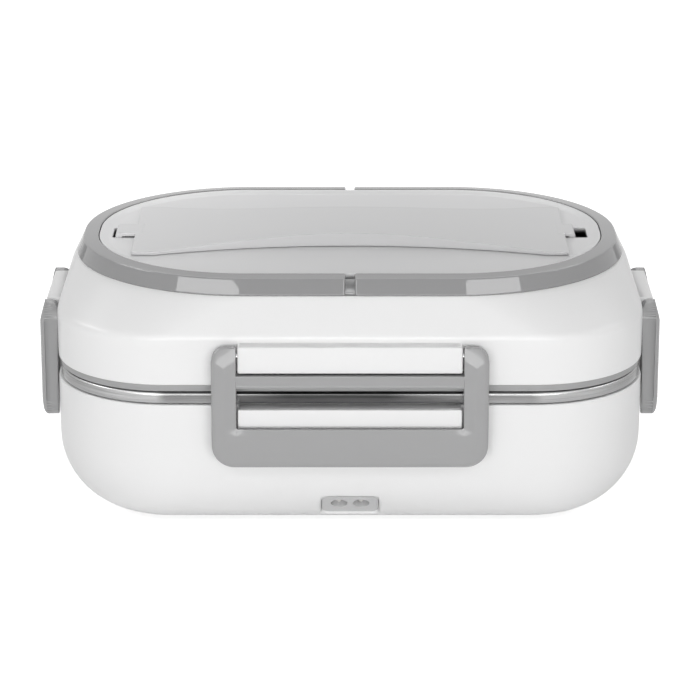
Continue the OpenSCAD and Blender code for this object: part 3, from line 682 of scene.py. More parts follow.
def finish(name):
    """A finish by name, made when it is first asked for."""
    shades, sizes = bpy.context.scene.lunch_colours, bpy.context.scene.lunch_sizes
    recipes = {
        "shell_white": lambda n: moulded(n, shades.shell, 0.28, 0.0002 * MM, 0.006, 0.03),
        "liner_white": lambda n: moulded(n, tinted(shades.shell, -0.02), 0.34),
        # The panel and the strap carry painted light: a gradient of light and shade laid into their colour
        "panel_pale": lambda n: moulded(n, shades.panel, 0.3, 0.0008 * MM, painted_light=True),
        "handle_pale": lambda n: moulded(n, shades.strap, 0.36, 0.0015 * MM, painted_light=True),
        "trim_grey": lambda n: moulded(n, shades.ring, 0.035, 0.0005 * MM, 0.02, 0.01, 1.0),
        "latch_grey": lambda n: moulded(n, shades.latch, 0.24, 0.0008 * MM, 0.015),
        "gasket_silicone": lambda n: rubbery(n, shades.gasket, 0.42),
        # The container's rim carries a painted reflection in its colour
        "container_steel": lambda n: drawn_steel(n, shades.steel, 0.24, rim=(
            sizes.half_l - sizes.corner_r, sizes.half_d - sizes.corner_r,
            sizes.corner_r - 4 * MM, RIM_FOOT)),
        "heater_aluminium": lambda n: cast_metal(n, (0.66, 0.67, 0.68), 0.35),
        "element_aluminium": lambda n: cast_metal(n, (0.6, 0.61, 0.62), 0.45),
        "insulation": lambda n: flecked(n, (0.55, 0.45, 0.28), (0.35, 0.26, 0.14)),
        "spring_steel": lambda n: cast_metal(n, (0.5, 0.5, 0.52), 0.3),
        "screw_steel": lambda n: cast_metal(n, (0.6, 0.6, 0.62), 0.3),
        "pin_steel": lambda n: drawn_steel(n, (0.62, 0.62, 0.64), 0.22, (40, 40, 4)),
        "thermostat_body": lambda n: flecked(n, (0.03, 0.03, 0.032), (0.012, 0.012, 0.012), 0.5),
        "fuse_body": lambda n: flecked(n, (0.62, 0.56, 0.42), (0.5, 0.44, 0.3), 0.5),
        "inlet_grey": lambda n: moulded(n, shades.inlet, 0.42, grain=0.01 * MM),
        "contact_brass": lambda n: cast_metal(n, (0.7, 0.69, 0.67), 0.3),
        "wire_brown": lambda n: rubbery(n, (0.12, 0.05, 0.02), 0.4),
        "wire_blue": lambda n: rubbery(n, (0.02, 0.06, 0.3), 0.4),
        "foot_rubber": lambda n: rubbery(n, (0.03, 0.03, 0.031), 0.7),
    }
    if name not in FINISHES:
        FINISHES[name] = recipes[name](name)
    return FINISHES[name]


def fitted(piece, body, slot, *nodes):
    """Gives a piece its finish, the body that it moves with, and the CAD nodes it stands for."""
    piece.data.materials.append(finish(slot))
    if body:
        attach(piece, body)
    if nodes:
        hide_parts(*nodes)
    return piece


# Pieces


class LUNCHBOX_OT_base_shell(bpy.types.Operator):
    """Makes the base shell: a pan's profile carried round the body, with four catches"""

    bl_idname = "lunchbox.base_shell"
    bl_label = "Base shell"

    def execute(self, context):
        sizes = context.scene.lunch_sizes
        foot, top = low("base_shell", 2), high("base_shell", 2)
        wall, bowl, edge = 2.4 * MM, 32 * MM, sizes.soft_edge
        tilt = math.radians(44)
        skin = Skin()
        # The window in the grid that the inlet's hole is worked into
        half, turn, flat_l = 16 * MM, math.radians(20), sizes.half_l - sizes.corner_r
        across = np.linspace(-half, half, 8)
        rise = tilt + np.linspace(-turn, turn, 8)
        beside = np.linspace(half, flat_l, 6)[1:-1]
        front = (np.concatenate([-beside[::-1], across, beside]) + flat_l) / (2 * flat_l)
        before, after = np.linspace(PI / 2, rise[-1], 6)[:-1], np.linspace(rise[0], 0, 6)[1:]
        lower = np.concatenate([before, rise[::-1], after])

        def rounded(depth):
            """The bowl's quarter circle, a depth inside its outer face, by the angle of rise."""
            reach = bowl - depth
            return np.stack([bowl - reach * np.cos(lower), foot + bowl - reach * np.sin(lower)], 1)

        deepest = sizes.corner_r - 1 * MM
        outer = np.concatenate([[(deepest, foot)], rounded(0)])
        inner = np.concatenate([[(deepest, foot + wall)], rounded(wall)])
        rim = np.concatenate([
            bend((edge, top - edge), edge, 180, 90), bend((wall - edge, top - edge), edge, 90, 0)])
        profile = np.concatenate([outer, rim, inner[::-1]])
        rows = carried(profile, sizes.half_l, sizes.half_d, sizes.corner_r, 20, 8, front)
        start = skin.grid(rows, caps=True)
        self.cut_window(skin, rows, start, across, 1 + len(before), len(rise) - 1)
        self.hole(skin, sizes, foot, bowl, wall, tilt, across, rise)
        for side in SIDES:
            self.catch(skin, side, sizes, top)
        fitted(skin.make("base_body"), "base", "shell_white", "base_shell")
        return {"FINISHED"}

    def cut_window(self, skin, rows, start, across, first, count):
        """Drops the quads whose middles lie inside the window, on both faces of the wall.

        The window takes up count rows of quads from the first one, and as many from the other
        end of the profile.
        """
        quads = skin.faces[-1] - start
        middle = rows.reshape(-1, 3)[quads].mean(1)
        row = quads[:, 0] // rows.shape[1]
        within = (abs(middle[:, 0]) < across[-1]) & (middle[:, 1] < 0)
        last = len(rows) - 1 - first
        band = ((row >= first) & (row < first + count)) | ((row >= last - count) & (row < last))
        skin.faces[-1] = quads[~(within & band)] + start

    def hole(self, skin, sizes, foot, bowl, wall, tilt, across, rise):
        """Joins the window to the inlet's hole, on both faces, and walls the hole.

        Both loops have as many points. Between them the distance across and the angle of rise
        are mixed in equal shares. The hole is a little wider on the outer face.
        """
        count = len(across) - 1
        ones = np.ones(count)
        window = np.concatenate([
            np.stack([across[:-1], rise[0] * ones], 1), np.stack([across[-1] * ones, rise[:-1]], 1),
            np.stack([across[:0:-1], rise[-1] * ones], 1), np.stack([across[0] * ones, rise[:0:-1]], 1)])
        half_w, half_h = 11.4 * MM, 7.5 * MM
        outline, _ = round_corners(box_outline(-half_w, -half_h, half_w, half_h), 3 * MM, count - 1)
        outline = np.roll(outline, -(count // 2), 0)
        share = np.linspace(0, 1, 5)[:, None, None]
        faces = []
        for depth, loop in ((0, outline * 1.03), (wall, outline)):
            reach = bowl - depth
            hole = np.stack([loop[:, 0], tilt + np.arcsin(loop[:, 1] / reach)], 1)
            flat = window * (1 - share) + hole * share
            faces.append(np.stack([flat[..., 0], bowl - sizes.half_d - reach * np.cos(flat[..., 1]),
                                   foot + bowl - reach * np.sin(flat[..., 1])], 2))
        outer, inner = faces
        skin.grid(outer[::-1])
        skin.grid(inner)
        skin.grid(np.stack([inner[-1], outer[-1]]))

    def catch(self, skin, side, sizes, top):
        """The catch under a latch's window, with a step below its lip"""
        half = latch_half(side) - sizes.arm_w - sizes.lug_gap
        lip, foot = top - 7 * MM, top - 11.4 * MM
        wall = on_side(side, sizes)
        root, step, edge = -1 * MM, 1 * MM, 0.4 * MM
        face = round_corners(box_outline(-half, lip, half, top), np.array([1.2, 1.2, 0.6, 0.6]) * MM)
        skin.plate([face], root, sizes.lug_proud, 0, edge, wall)
        below = round_corners(box_outline(-half, foot, half, lip + step), 0.6 * MM)
        skin.plate([below], root, sizes.lug_proud - step, 0, edge, wall)


class LUNCHBOX_OT_container(bpy.types.Operator):
    """Makes the steel container: one drawn sheet with a turned-down rim"""

    bl_idname = "lunchbox.container"
    bl_label = "Food container"

    def execute(self, context):
        sizes = context.scene.lunch_sizes
        floor, rim_top = low("food_container", 2), high("food_container", 2)
        outside = sizes.half_l - high("food_container", 0)
        tub, wall, bowl, soft, curl = 9.3 * MM, 0.8 * MM, 22 * MM, 1 * MM, 1.3 * MM
        deepest = 40 * MM
        knee = tub - soft, rim_top - wall - soft
        lip = outside + curl, rim_top - curl
        round_foot = tub + bowl, floor + bowl
        outer = [[(deepest, floor)], bend(round_foot, bowl, 270, 180, 14), bend(knee, soft, 0, 90, 4),
                 bend(lip, curl - wall, 90, 180, 4),
                 bend((outside + wall / 2, RIM_FOOT + wall / 2), wall / 2, 360, 180, 6)]
        inner = [bend(lip, curl, 180, 90, 8), bend(knee, soft + wall, 90, 0, 6),
                 bend(round_foot, bowl - wall, 180, 270, 14), [(deepest, floor + wall)]]
        skin = Skin()
        skin.grid(carried(np.concatenate(outer + inner), sizes.half_l, sizes.half_d, sizes.corner_r, 24, 8),
                  caps=True)
        fitted(skin.make("container"), "container", "container_steel", "food_container")
        return {"FINISHED"}


class LUNCHBOX_OT_gasket(bpy.types.Operator):
    """Makes the gasket: a band with a rounded lip, carried round the body"""

    bl_idname = "lunchbox.gasket"
    bl_label = "Gasket"

    def execute(self, context):
        sizes = context.scene.lunch_sizes
        foot, top = low("lid_gasket", 2), high("lid_gasket", 2)
        outside = sizes.half_l - high("lid_gasket", 0)
        lip, edge, inside = 0.7 * MM, 0.4 * MM, 10.4 * MM
        profile = np.concatenate([
            bend((outside + lip, foot + lip), lip, 270, 180),
            bend((outside + edge, top - edge), edge, 180, 90),
            bend((inside, top - edge), edge, 90, 0, 3), bend((inside, foot + edge), edge, 0, -90, 3)])
        skin = Skin()
        skin.grid(carried(profile, sizes.half_l, sizes.half_d, sizes.corner_r), round_v=True)
        fitted(skin.make("gasket"), "lid", "gasket_silicone", "lid_gasket")
        return {"FINISHED"}


class LUNCHBOX_OT_lid_shell(bpy.types.Operator):
    """Makes the lid shell: rounded rectangles lofted from the body's outline to the crown's"""

    bl_idname = "lunchbox.lid_shell"
    bl_label = "Lid shell"

    def execute(self, context):
        sizes = context.scene.lunch_sizes
        foot = high("lid_gasket", 2)
        crown = low("trim_ring_left", 2)
        crown_l, crown_d = high("trim_ring_right", 0), high("trim_ring_right", 1)
        crease = crown - 14.7 * MM
        wall, edge, soft = sizes.lid_wall, sizes.soft_edge, 1.6 * MM
        crown_r = crown_d - sizes.crown_flat / 2

        def loft(inset, height, share):
            """Rows whose sizes are a share of the way from the body's to the crown's, less an inset."""
            inset, height, share = (np.asarray(v, float) for v in (inset, height, share))
            return rings(sizes.half_l + (crown_l - sizes.half_l) * share - inset,
                         sizes.half_d + (crown_d - sizes.half_d) * share - inset,
                         sizes.corner_r + (crown_r - sizes.corner_r) * share - inset, height, 28, 10)

        def shoulder(depth, top, steps):
            """Insets, heights and shares of a face from below the crease up to its top.

            The share is the height over the crease by the shoulder's height, once it is a soft
            edge past the crease. Before that it grows with the square of the way, to the same
            slope.
            """
            height = np.concatenate([np.linspace(crease - soft, crease + soft, 9),
                                     np.linspace(crease + soft, top, steps + 1)[1:]])
            over = np.clip((height - crease + soft) / (2 * soft), 0, 1)
            share = np.where(over < 1, over ** 2 * soft, height - crease) / (crown - crease)
            return np.full(len(height), depth), height, share

        seat = 8.2 * MM
        outside = shoulder(0, crown - edge, 6)
        inside = shoulder(wall, crown - wall, 6)
        rim = bend((edge, crown - edge), edge, 165, 90, 5)
        bottom = [bend((wall - edge, foot + edge), edge, 0, -90, 4),
                  bend((edge, foot + edge), edge, 270, 180, 4)]
        rows = np.concatenate([
            loft(*outside), loft(rim[1:, 0], rim[1:, 1], np.ones(5)), loft([seat], [crown], [1]),
            loft([seat], [crown - wall], [1]), loft(*[v[::-1] for v in inside]),
            loft(*np.concatenate(bottom).T, np.zeros(10))])
        skin = Skin()
        skin.grid(rows, round_v=True)
        for side in SIDES:
            self.lug(skin, side, sizes, crease - 2.1 * MM)
        fitted(skin.make("lid_body"), "lid", "shell_white", "lid_shell")
        return {"FINISHED"}

    def lug(self, skin, side, sizes, top):
        """The lug that a latch's pin goes through"""
        half = latch_half(side) - sizes.arm_w - sizes.lug_gap
        face = round_corners(box_outline(-half, top - sizes.slot_h + sizes.lug_gap, half, top),
                             np.array([0.8, 0.8, 1, 1]) * MM)
        skin.plate([face], -1 * MM, sizes.lug_proud, 0, 0.55 * MM, on_side(side, sizes))


class LUNCHBOX_OT_top_panel(bpy.types.Operator):
    """Makes the top panel: a rounded plate with two slots and a finger recess, on a flanged rim"""

    bl_idname = "lunchbox.top_panel"
    bl_label = "Top panel"

    def execute(self, context):
        sizes = context.scene.lunch_sizes
        deck, crown = high("top_panel", 2), low("top_panel", 2)
        crown_l, crown_d = high("trim_ring_right", 0), high("trim_ring_right", 1)
        crown_r = crown_d - sizes.crown_flat / 2
        rim, thick = sizes.ring_w + 0.3 * MM, 2.2 * MM
        slot_near, slot_far, slot_half = 83 * MM, 98.5 * MM, 7.6 * MM
        tray_l, tray_d, tray_r = 46 * MM, 17 * MM, 6 * MM
        signs, normal = walk_round(30, 8)
        radius = crown_r - rim
        core = np.array([crown_l, crown_d]) - rim - radius
        slots = [self.hole(*ends, -slot_half, slot_half, 1 * MM)
                 for ends in ((slot_near, slot_far), (-slot_far, -slot_near))]
        recess = self.hole(-tray_l, tray_l, -tray_d, tray_d, tray_r)
        lift = high("trim_ring_right", 2) - 0.35 * MM - deck

        def dished(flat, depth):
            """Lies flat, but rises smoothly to the ring over the outermost strip."""
            inside = depth_inside(flat, core, radius)
            return lying(flat, depth + lift * (1 - smooth(inside, 0.2 * MM, sizes.deck_dish)))

        skin = Skin()
        strips = [signs * core + normal * (radius - inset)
                  for inset in np.linspace(0.7 * MM, sizes.deck_dish + 0.6 * MM, 8)]
        skin.plate([(signs * core + normal * radius, normal), *slots, recess], deck - thick, deck,
                   0, sizes.fine_edge, dished, 5, np.concatenate(strips))
        # The flanged rim under the plate, in a clockwise profile
        inner, flange, ledge = rim + 2 * MM, 1.2 * MM, crown + 1.5 * MM
        under = deck - thick + 0.2 * MM
        profile = [(flange, crown), (flange, ledge), (rim, ledge), (rim, under + lift),
                   (inner, under + lift / 2), (inner, crown)]
        skin.grid(carried(profile, crown_l, crown_d, crown_r, 30, 8), round_v=True)
        # The recess, a tray that hangs from its edge
        floor, soft, wall, middle = deck - 6 * MM, 2 * MM, 1.5 * MM, 4.5 * MM
        tray = np.concatenate([
            [(middle, floor)], bend((soft, floor + soft), soft, 270, 180),
            [(0, deck - thick), (-wall, deck - thick)],
            bend((soft, floor + soft), soft + wall, 180, 270), [(middle, floor - wall)]])
        skin.grid(carried(tray, tray_l, tray_d, tray_r, 8, 4)[::-1], caps=True)
        fitted(skin.make("deck"), "lid", "panel_pale", "top_panel")
        return {"FINISHED"}

    @staticmethod
    def hole(x0, x1, y0, y1, radius):
        """A rectangular hole's outline, which runs clockwise."""
        return round_corners(box_outline(x0, y0, x1, y1)[::-1], radius)


class LUNCHBOX_OT_trim_ring(bpy.types.Operator):
    """Makes the two halves of the trim ring: a section carried round half of the crown"""

    bl_idname = "lunchbox.trim_ring"
    bl_label = "Trim ring"

    def execute(self, context):
        sizes = context.scene.lunch_sizes
        foot, top = low("trim_ring_left", 2), high("trim_ring_left", 2)
        half_l, half_d = high("trim_ring_right", 0), high("trim_ring_right", 1)
        gap = low("trim_ring_right", 0)
        section, outward = round_corners(
            [(0, foot), (sizes.ring_w, foot), (sizes.ring_w, top),
             (sizes.ring_slope, top - sizes.ring_fall)],
            [0.5 * MM, 0.3 * MM, 0.5 * MM, 0.9 * MM], 5)
        radius = half_d - sizes.crown_flat / 2
        core, turn, shrink = self.walk(half_l, half_d, radius, gap, 0.8 * MM)
        drawn = section[None] - outward[None] * shrink[:, None, None]
        reach = radius - drawn[:, :, 0]
        rows = np.stack([core[:, :1] + reach * np.cos(turn)[:, None],
                         core[:, 1:] + reach * np.sin(turn)[:, None], drawn[:, :, 1]], 2)
        for name, placed in (("right", rows), ("left", rows[::-1] * [-1, 1, 1])):
            skin = Skin()
            skin.grid(placed, caps=True)
            fitted(skin.make("trim_" + name), "lid", "trim_grey", "trim_ring_" + name)
        return {"FINISHED"}

    @staticmethod
    def walk(half_l, half_d, radius, gap, end, arc=40, run=12):
        """Corner centres, turns and shrinks on a walk from the front gap round the right end.

        The first and last steps round the ends: at angle t the section is drawn in by
        end (1 - sin t) and lies end (1 - cos t) from the gap.
        """
        t = np.linspace(0, PI / 2, 6)[:-1]
        lead, drawn = gap + end * (1 - np.cos(t)), end * (1 - np.sin(t))
        straight = np.linspace(gap + end, half_l - radius, run)
        corner_x = np.full(arc + 1, half_l - radius)
        half_x = np.concatenate([lead, straight, corner_x])
        half_turn = np.concatenate([np.zeros(len(t) + run), np.linspace(0, PI / 2, arc + 1)]) - PI / 2
        half_shrink = np.concatenate([drawn, np.zeros(run + arc + 1)])
        core_x = np.concatenate([half_x, half_x[::-1]])
        core_y = np.repeat([radius - half_d, half_d - radius], len(half_x))
        turn = np.concatenate([half_turn, -half_turn[::-1]])
        return np.stack([core_x, core_y], 1), turn, np.concatenate([half_shrink, half_shrink[::-1]])


class LUNCHBOX_OT_latches(bpy.types.Operator):
    """Makes the four snap latches: a U-shaped plate in front, with arms behind and a bar across.

    The plate's face lies back by the largest of three falls. Round the outline it is the ridge's
    height times 1 - d / w, where d is the distance inside the outline and w half an arm. On an
    arm's inner half it is that height times the share of the way to the slot. Over an arm's top
    it is the lean's slope times the height above its start.
    """

    bl_idname = "lunchbox.latches"
    bl_label = "Latches"
    clear = 0.2 * MM    # how far the tops end short of the CAD's, so that a turned latch clears the wall

    def execute(self, context):
        sizes = context.scene.lunch_sizes
        bottom, top = low("latch_front", 2), high("latch_front", 2)
        proud = -low("latch_front", 1) - sizes.half_d
        plate_back = sizes.lug_proud + 0.3 * MM
        slot = top - sizes.slot_h
        for side in SIDES:
            half = latch_half(side)
            wall = on_side(side, sizes)
            skin = Skin()
            self.face(skin, sizes, half, bottom, top, plate_back, proud, wall)
            self.arms(skin, sizes, half, bottom, top - self.clear, plate_back, wall)
            self.bar(skin, sizes, half - sizes.arm_w + 0.8 * MM, slot - sizes.bar_h, slot,
                     proud - sizes.ridge, wall)
            fitted(skin.make("snap_" + side), "latch_" + side, "latch_grey", "latch_" + side)
        return {"FINISHED"}

    def face(self, skin, sizes, half, bottom, top, plate_back, proud, wall):
        """The U-shaped plate, whose face lies back by the fall that the class describes"""
        gap, band = half - sizes.arm_w, sizes.arm_w / 2
        sill = high("base_shell", 2) - 7.4 * MM
        lean_z = top - sizes.arm_lean_h
        middle = [0, (top + bottom) / 2]
        core = [half - sizes.latch_r, (top - bottom) / 2 - sizes.latch_r]

        def fall(flat):
            """How far the face lies back at points of the wall's plane."""
            outer = np.clip(1 - depth_inside(flat - middle, core, sizes.latch_r) / band, 0, 1)
            up = smooth(flat[..., 1], sill - 2.7 * MM, sill)
            inner = np.clip(1 - abs(abs(flat[..., 0]) - gap) / band, 0, 1) * up
            lean = np.maximum(flat[..., 1] - lean_z, 0) * sizes.arm_lean / sizes.arm_lean_h
            return np.maximum(np.maximum(outer, inner) * sizes.ridge, lean)

        def leaning(flat, depth):
            """Lays the face back by its fall, and less the nearer a point is to the plate's back."""
            share = np.clip((depth - plate_back) / (proud - plate_back), 0, 1)
            return wall(flat, depth - share * fall(flat))

        def front_edge(loop):
            """Wide along the outside, fine along the slot."""
            inner = smooth(abs(loop[:, 0]), gap + 0.6 * MM, gap + 4 * MM)
            wide = np.where(loop[:, 1] > sill - 0.5 * MM, inner, 1)
            return sizes.fine_edge + (sizes.latch_edge - sizes.fine_edge) * wide

        peak, wide, fine = top - self.clear, sizes.latch_r, 0.8 * MM
        outline = divided(round_corners(
            [(-half, bottom), (half, bottom), (half, peak), (gap, peak), (gap, sill), (-gap, sill),
             (-gap, peak), (-half, peak)],
            np.array([wide, wide, wide * 0.8, fine, fine, fine, fine, wide * 0.8]), 12), 1.2 * MM)
        arm = stops(0.6 * MM, gap - band, gap, half - band, half)
        rise = lean_z - 3 * MM
        lattice = np.meshgrid(
            np.concatenate([-arm, stops(2.5 * MM, band - gap, gap - band)[1:-1], arm]),
            np.concatenate([stops(0.6 * MM, bottom, bottom + band),
                            stops(1.2 * MM, bottom + band, sill, rise)[1:],
                            stops(0.5 * MM, rise, lean_z, top)[1:]]))
        skin.plate([outline], plate_back - 0.2 * MM, proud, 0, front_edge, leaning, 8,
                   np.stack(lattice, 2).reshape(-1, 2))

    def bar(self, skin, sizes, reach, z0, z1, proud, wall):
        """The bar between lug and window, dished in front with a bead along its lower edge.

        Its front lies back by a smooth rise from the top edge to near the bead, less another over
        the bead.
        """
        fine, back, bead = sizes.fine_edge, 0.7 * MM, proud - 0.05 * MM
        t = np.linspace(0, 1, 15)[1:-1]
        dish = 0.4 * MM * smooth(t, 0, 0.8) - 0.35 * MM * smooth(t, 0.84, 0.95)
        section = np.concatenate([
            [(back, z0), (back, z1)], bend((proud - fine, z1 - fine), fine, 90, 10, 3),
            np.stack([proud - dish, z1 - (z1 - z0) * t], 1),
            bend((bead - fine, z0 + fine), fine, -10, -90, 3)])
        across = np.array([-reach, reach])
        flat = np.stack(np.broadcast_arrays(across[:, None], section[None, :, 1]), 2)
        skin.grid(wall(flat, np.broadcast_to(section[None, :, 0], flat.shape[:2])), caps=True)

    def arms(self, skin, sizes, half, bottom, top, plate_back, wall):
        """The arms behind the plate, cleared so that the latch can be pressed home and turned.

        Below the pin the back slopes by the press. Above it, at a height h over the pin, it lies
        forward by r - sqrt(r^2 - h^2), a circle about the pin.
        """
        gap, back, edge = half - sizes.arm_w, 0.62 * MM, 0.4 * MM
        pivot_out, pivot_z = (-(low("pin_front", 1) + high("pin_front", 1)) / 2 - sizes.half_d,
                              (low("pin_front", 2) + high("pin_front", 2)) / 2)
        radius = pivot_out - back

        def sloped(flat, depth):
            """Moves the back's points forward by the slope and the circle."""
            below = np.maximum(pivot_z - flat[..., 1], 0) * math.tan(PRESS)
            above = np.clip(flat[..., 1] - pivot_z, 0, radius)
            moved = depth + below + radius - np.sqrt(radius ** 2 - above ** 2)
            return wall(flat, np.where(depth < plate_back / 2, moved, depth))

        for way in (1, -1):
            points = [(gap, bottom), (half, bottom), (half, top), (gap, top)]
            radii = [edge, sizes.latch_r, sizes.latch_r * 0.72, 2 * edge]
            if way < 0:
                points, radii = [(-x, z) for x, z in points[::-1]], radii[::-1]
            outline = divided(round_corners(points, radii, 10), 0.5 * MM)
            skin.plate([outline], back, plate_back, edge, 0, sloped)


class LUNCHBOX_OT_strap(bpy.types.Operator):
    """Makes the strap handle in two halves: a waisted, arched section with end tabs"""

    bl_idname = "lunchbox.strap"
    bl_label = "Strap handle"

    def execute(self, context):
        sizes = context.scene.lunch_sizes
        rows, bend_x = self.rows(sizes), abs(low("handle_end_right", 0))
        for way, name in ((1, "right"), (-1, "left")):
            skin = Skin()
            skin.grid(rows if way > 0 else rows[::-1] * [-1, 1, 1], caps=True)
            self.tab(skin, sizes, way, "handle_end_" + name)
            piece = skin.make("strap_" + name)
            fitted(piece, None, "handle_pale", "handle_end_" + name, "handle_grip")
            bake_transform(piece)
        return {"FINISHED"}

    @staticmethod
    def rows(sizes):
        """Sections of the strap from its middle to its right end.

        Over the waist's length the half width is half the waist plus r - sqrt(r^2 - x^2), a circle
        of radius r, and beyond it half the strap's width. The top rises as a squared cosine towards
        the middle. Over the end's edge e, a section at a distance d from the end is drawn in by
        e - sqrt(e^2 - (e - d)^2).
        """
        base = low("handle_grip", 2) - 0.15 * MM
        rise = high("handle_grip", 2) - base - sizes.strap_t
        end, half = sizes.strap_l / 2, sizes.strap_w / 2
        edge, corner, wall = 0.3 * MM, 1.6 * MM, 2 * MM
        t = np.linspace(PI / 2, 0, 5)
        x = np.concatenate([np.linspace(0, end - corner, 60)[:-1],
                            np.linspace(end - corner, end - edge, 10)[:-1], end - edge * np.sin(t)])
        last = x > end - edge
        drawn = np.where(last, edge - np.sqrt(np.maximum(edge ** 2 - (x - end + edge) ** 2, 0)), 0)
        deep = (sizes.strap_w - sizes.waist_w) / 2
        circle = ((sizes.waist_l / 2) ** 2 + deep ** 2) / (2 * deep)
        waist = sizes.waist_w / 2 + circle - np.sqrt(np.maximum(circle ** 2 - x ** 2, 0))
        width = np.where(x < sizes.waist_l / 2, np.minimum(waist, half), half)
        width -= corner - np.sqrt(np.maximum(corner ** 2 - np.maximum(x - end + corner, 0) ** 2, 0))
        width = np.where(last, width[np.searchsorted(x, end - edge)], width) - drawn
        top = base + sizes.strap_t + rise * np.cos(PI / 2 * np.minimum(1, x / end)) ** 2 - drawn
        underside, inner = base + drawn, width - wall
        cavity = base + np.maximum(top - base - wall, 0.02 * MM)

        def arc(level, radius, start, stop, steps):
            """Points on every section's right side: an arc about a level, by angles in degrees."""
            return [np.stack([width - radius + radius * np.cos(k), level + radius * np.sin(k)], 1)
                    for k in np.radians(np.linspace(start, stop, steps))]

        low_r, top_r = 0.25 * MM, 0.5 * MM
        right = arc(underside + low_r, low_r, -90, 0, 3) + arc(top - top_r, top_r, 0, 90, 6)
        left = [v * [-1, 1] for v in right[::-1]]
        hollow = [np.stack(v, 1) for v in (
            (-inner, underside), (-inner, cavity), (inner, cavity), (inner, underside))]
        section = np.stack(right + left + hollow, 1)
        return np.concatenate([np.broadcast_to(x[:, None, None], section.shape[:2] + (1,)), section], 2)

    def tab(self, skin, sizes, way, node):
        """The tab at the strap's end, which turns down through its slot to a foot"""
        base, foot = low("handle_grip", 2), low(node, 2)
        reach = abs(high(node, 0)) if way > 0 else abs(low(node, 0))
        start, neck, thick = sizes.strap_l / 2 - 3 * MM, 2.5 * MM, sizes.strap_t
        tab_half, sole_half, sole_t, edge = 7.5 * MM, 11 * MM, 1.8 * MM, 0.3 * MM

        def upright(flat, depth):
            """Places points (x, z), with depth across the strap. The left end is turned half round."""
            depth = np.broadcast_to(depth, flat.shape[:-1])
            return np.stack([flat[..., 0] * way, -depth * way, flat[..., 1]], -1)

        bent = round_corners(
            [(start, base), (reach - neck, base), (reach - neck, foot), (reach, foot),
             (reach, base + thick), (start, base + thick)],
            np.array([0.3, 0.5, 0.3, 0.3, 1.3, 0.3]) * MM)
        skin.plate([bent], -tab_half, tab_half, edge, edge, upright)
        sole = round_corners(box_outline(reach - neck, foot, reach, foot + sole_t), 0.4 * MM)
        skin.plate([sole], -sole_half, sole_half, edge, edge, upright)


class LUNCHBOX_OT_inner_parts(bpy.types.Operator):
    """Gives every CAD node that stays in view its own finish"""

    bl_idname = "lunchbox.inner_parts"
    bl_label = "Inner parts"

    def execute(self, context):
        slots = {part["node"]: part["material_slot"] for part in frame["record"]["subparts"]}
        for name, node in frame["nodes"].items():
            if not node.hide_render:
                node.data.materials.clear()
                node.data.materials.append(finish(slots[name]))
        return {"FINISHED"}


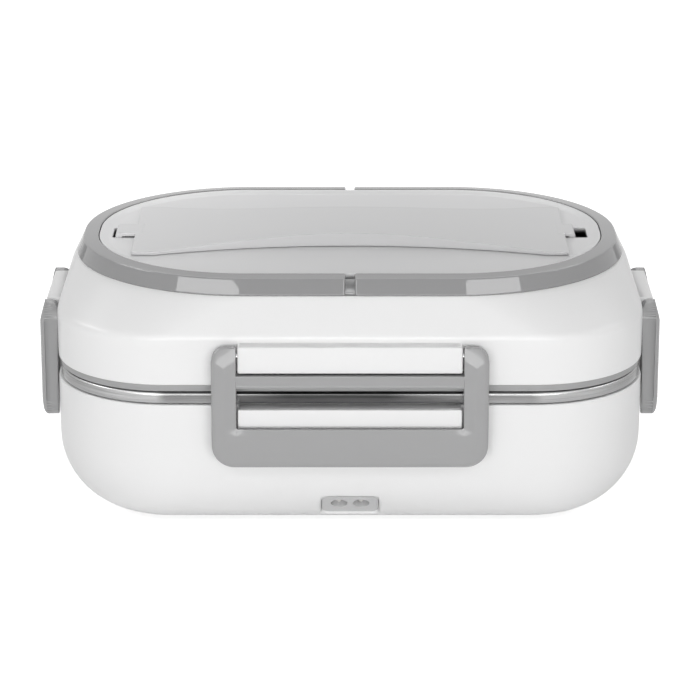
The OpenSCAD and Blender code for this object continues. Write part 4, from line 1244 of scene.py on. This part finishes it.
class LUNCHBOX_OT_stage(bpy.types.Operator):
    """Sets up the floor, the pale surroundings, the lamps and the camera"""

    bl_idname = "lunchbox.stage"
    bl_label = "Stage"

    def execute(self, context):
        stage = context.scene.lunch_stage
        scene = context.scene
        scene.view_settings.view_transform = "Standard"
        self.floor()
        self.world(scene, stage)
        self.camera(scene, stage)
        # Turn and rise in degrees, width and height in metres
        for name, turn, rise, width, height, power in (
                ("left", -29, 32, 0.92, 0.16, stage.left_power),
                ("right", 29.5, 32, 0.8, 0.16, stage.right_power),
                ("front", 0, 8, 1.6, 0.3, stage.front_power),
                ("top", 150, 72, 1.0, 1.0, stage.top_power),
                ("back", 180, 45, 1.2, 0.5, stage.back_power),
                ("left_side", -98, 40, 0.8, 0.3, stage.left_side_power),
                ("right_side", 98, 40, 0.8, 0.3, stage.right_side_power)):
            self.lamp(name, math.radians(turn), math.radians(rise), width, height, power, stage.aim_z)
        return {"FINISHED"}

    def floor(self):
        """A flat sheet that the camera sees white, apart from a faint shadow under the box."""
        made = Finish("floor_white", Roughness=0.9, Specular_IOR_Level=0.0)
        grain = made.noise(30, 3)
        made.set(Base_Color=made.mix(grain, (0.95, 0.95, 0.95), (0.97, 0.97, 0.97)))
        camera, glossy, through = made.rays("Camera", "Glossy", "Transmission")
        seen = (camera + through + glossy * 0.3).clipped()
        glow = made.node("ShaderNodeEmission", None, {"Color": (1, 1, 1, 1), "Strength": seen * 0.65})
        both = made.node("ShaderNodeAddShader", None, {0: made.shader.outputs[0], 1: glow.outputs[0]})
        made.feed(made.tree.nodes["Material Output"].inputs["Surface"], both.outputs[0])
        skin = Skin()
        x, y = np.meshgrid(*[np.linspace(-6, 6, 5)] * 2)
        skin.grid(np.stack([x, y, np.zeros_like(x)], 2), round_u=False)
        sheet = skin.make("floor")
        sheet.data.materials.append(made.material)

    def world(self, scene, stage):
        """White to the camera, and a softer white as light."""
        world = bpy.data.worlds.new("studio")
        world.use_nodes = True
        scene.world = world
        made = Nodes(world.node_tree)
        camera, glossy, through = made.rays("Camera", "Glossy", "Transmission")
        seen = (camera + glossy + through).clipped()
        background = made.tree.nodes["Background"]
        made.feed(background.inputs["Strength"], seen * (1 - stage.fill) + stage.fill)
        made.feed(background.inputs["Color"], (1, 1, 1, 1))

    def camera(self, scene, stage):
        """Looks at the aim from the front, raised, without any shift."""
        lens = bpy.data.cameras.new("camera")
        lens.lens, lens.sensor_width = stage.lens, 36
        lens.clip_start, lens.clip_end = 0.05, 50
        camera = bpy.data.objects.new("camera", lens)
        scene.collection.objects.link(camera)
        back = Vector((0, -math.cos(stage.rise), math.sin(stage.rise)))
        camera.location = Vector((0, 0, stage.aim_z)) + back * stage.distance
        camera.rotation_mode = "QUATERNION"
        camera.rotation_quaternion = (-back).to_track_quat("-Z", "Y")
        scene.camera = camera

    def lamp(self, name, turn, rise, width, height, power, aim_z):
        """A softbox at a distance from the box, turned from the front to the right and raised."""
        distance = 1.4
        light = bpy.data.lights.new(name, "AREA")
        light.shape, light.size, light.size_y, light.energy = "RECTANGLE", width, height, power
        lamp = bpy.data.objects.new(name, light)
        bpy.context.scene.collection.objects.link(lamp)
        out = Vector((math.sin(turn) * math.cos(rise), -math.cos(turn) * math.cos(rise), math.sin(rise)))
        lamp.location = Vector((0, 0, aim_z)) + out * distance
        lamp.rotation_mode = "QUATERNION"
        lamp.rotation_quaternion = (-out).to_track_quat("-Z", "Y")


OPERATORS = (
    LUNCHBOX_OT_base_shell, LUNCHBOX_OT_container, LUNCHBOX_OT_gasket, LUNCHBOX_OT_lid_shell,
    LUNCHBOX_OT_top_panel, LUNCHBOX_OT_trim_ring, LUNCHBOX_OT_latches, LUNCHBOX_OT_strap,
    LUNCHBOX_OT_inner_parts, LUNCHBOX_OT_stage,
)


class LUNCHBOX_PT_panel(bpy.types.Panel):
    """Lists the pieces, with their sizes and colours"""

    bl_idname = "LUNCHBOX_PT_panel"
    bl_label = "Lunch box"
    bl_space_type = "VIEW_3D"
    bl_region_type = "UI"
    bl_category = "Lunch box"

    def draw(self, context):
        """Shows each group's properties, then a button for each operator."""
        for group in (context.scene.lunch_sizes, context.scene.lunch_colours, context.scene.lunch_stage):
            box = self.layout.box()
            for name in group.bl_rna.properties.keys():
                if name not in ("rna_type", "name"):
                    box.prop(group, name)
        for operator in OPERATORS:
            self.layout.operator(operator.bl_idname)


GROUPS = {"lunch_sizes": LunchBoxSizes, "lunch_colours": LunchBoxColours, "lunch_stage": LunchBoxStage}


def register():
    for kind in (*GROUPS.values(), *OPERATORS, LUNCHBOX_PT_panel):
        bpy.utils.register_class(kind)
    for name, group in GROUPS.items():
        setattr(bpy.types.Scene, name, bpy.props.PointerProperty(type=group))


def unregister():
    for name in GROUPS:
        delattr(bpy.types.Scene, name)
    for kind in reversed((*GROUPS.values(), *OPERATORS, LUNCHBOX_PT_panel)):
        bpy.utils.unregister_class(kind)


def main():
    register()
    for operator in OPERATORS:
        getattr(bpy.ops.lunchbox, operator.bl_idname.split(".")[1])()


if __name__ == "__main__":
    main()
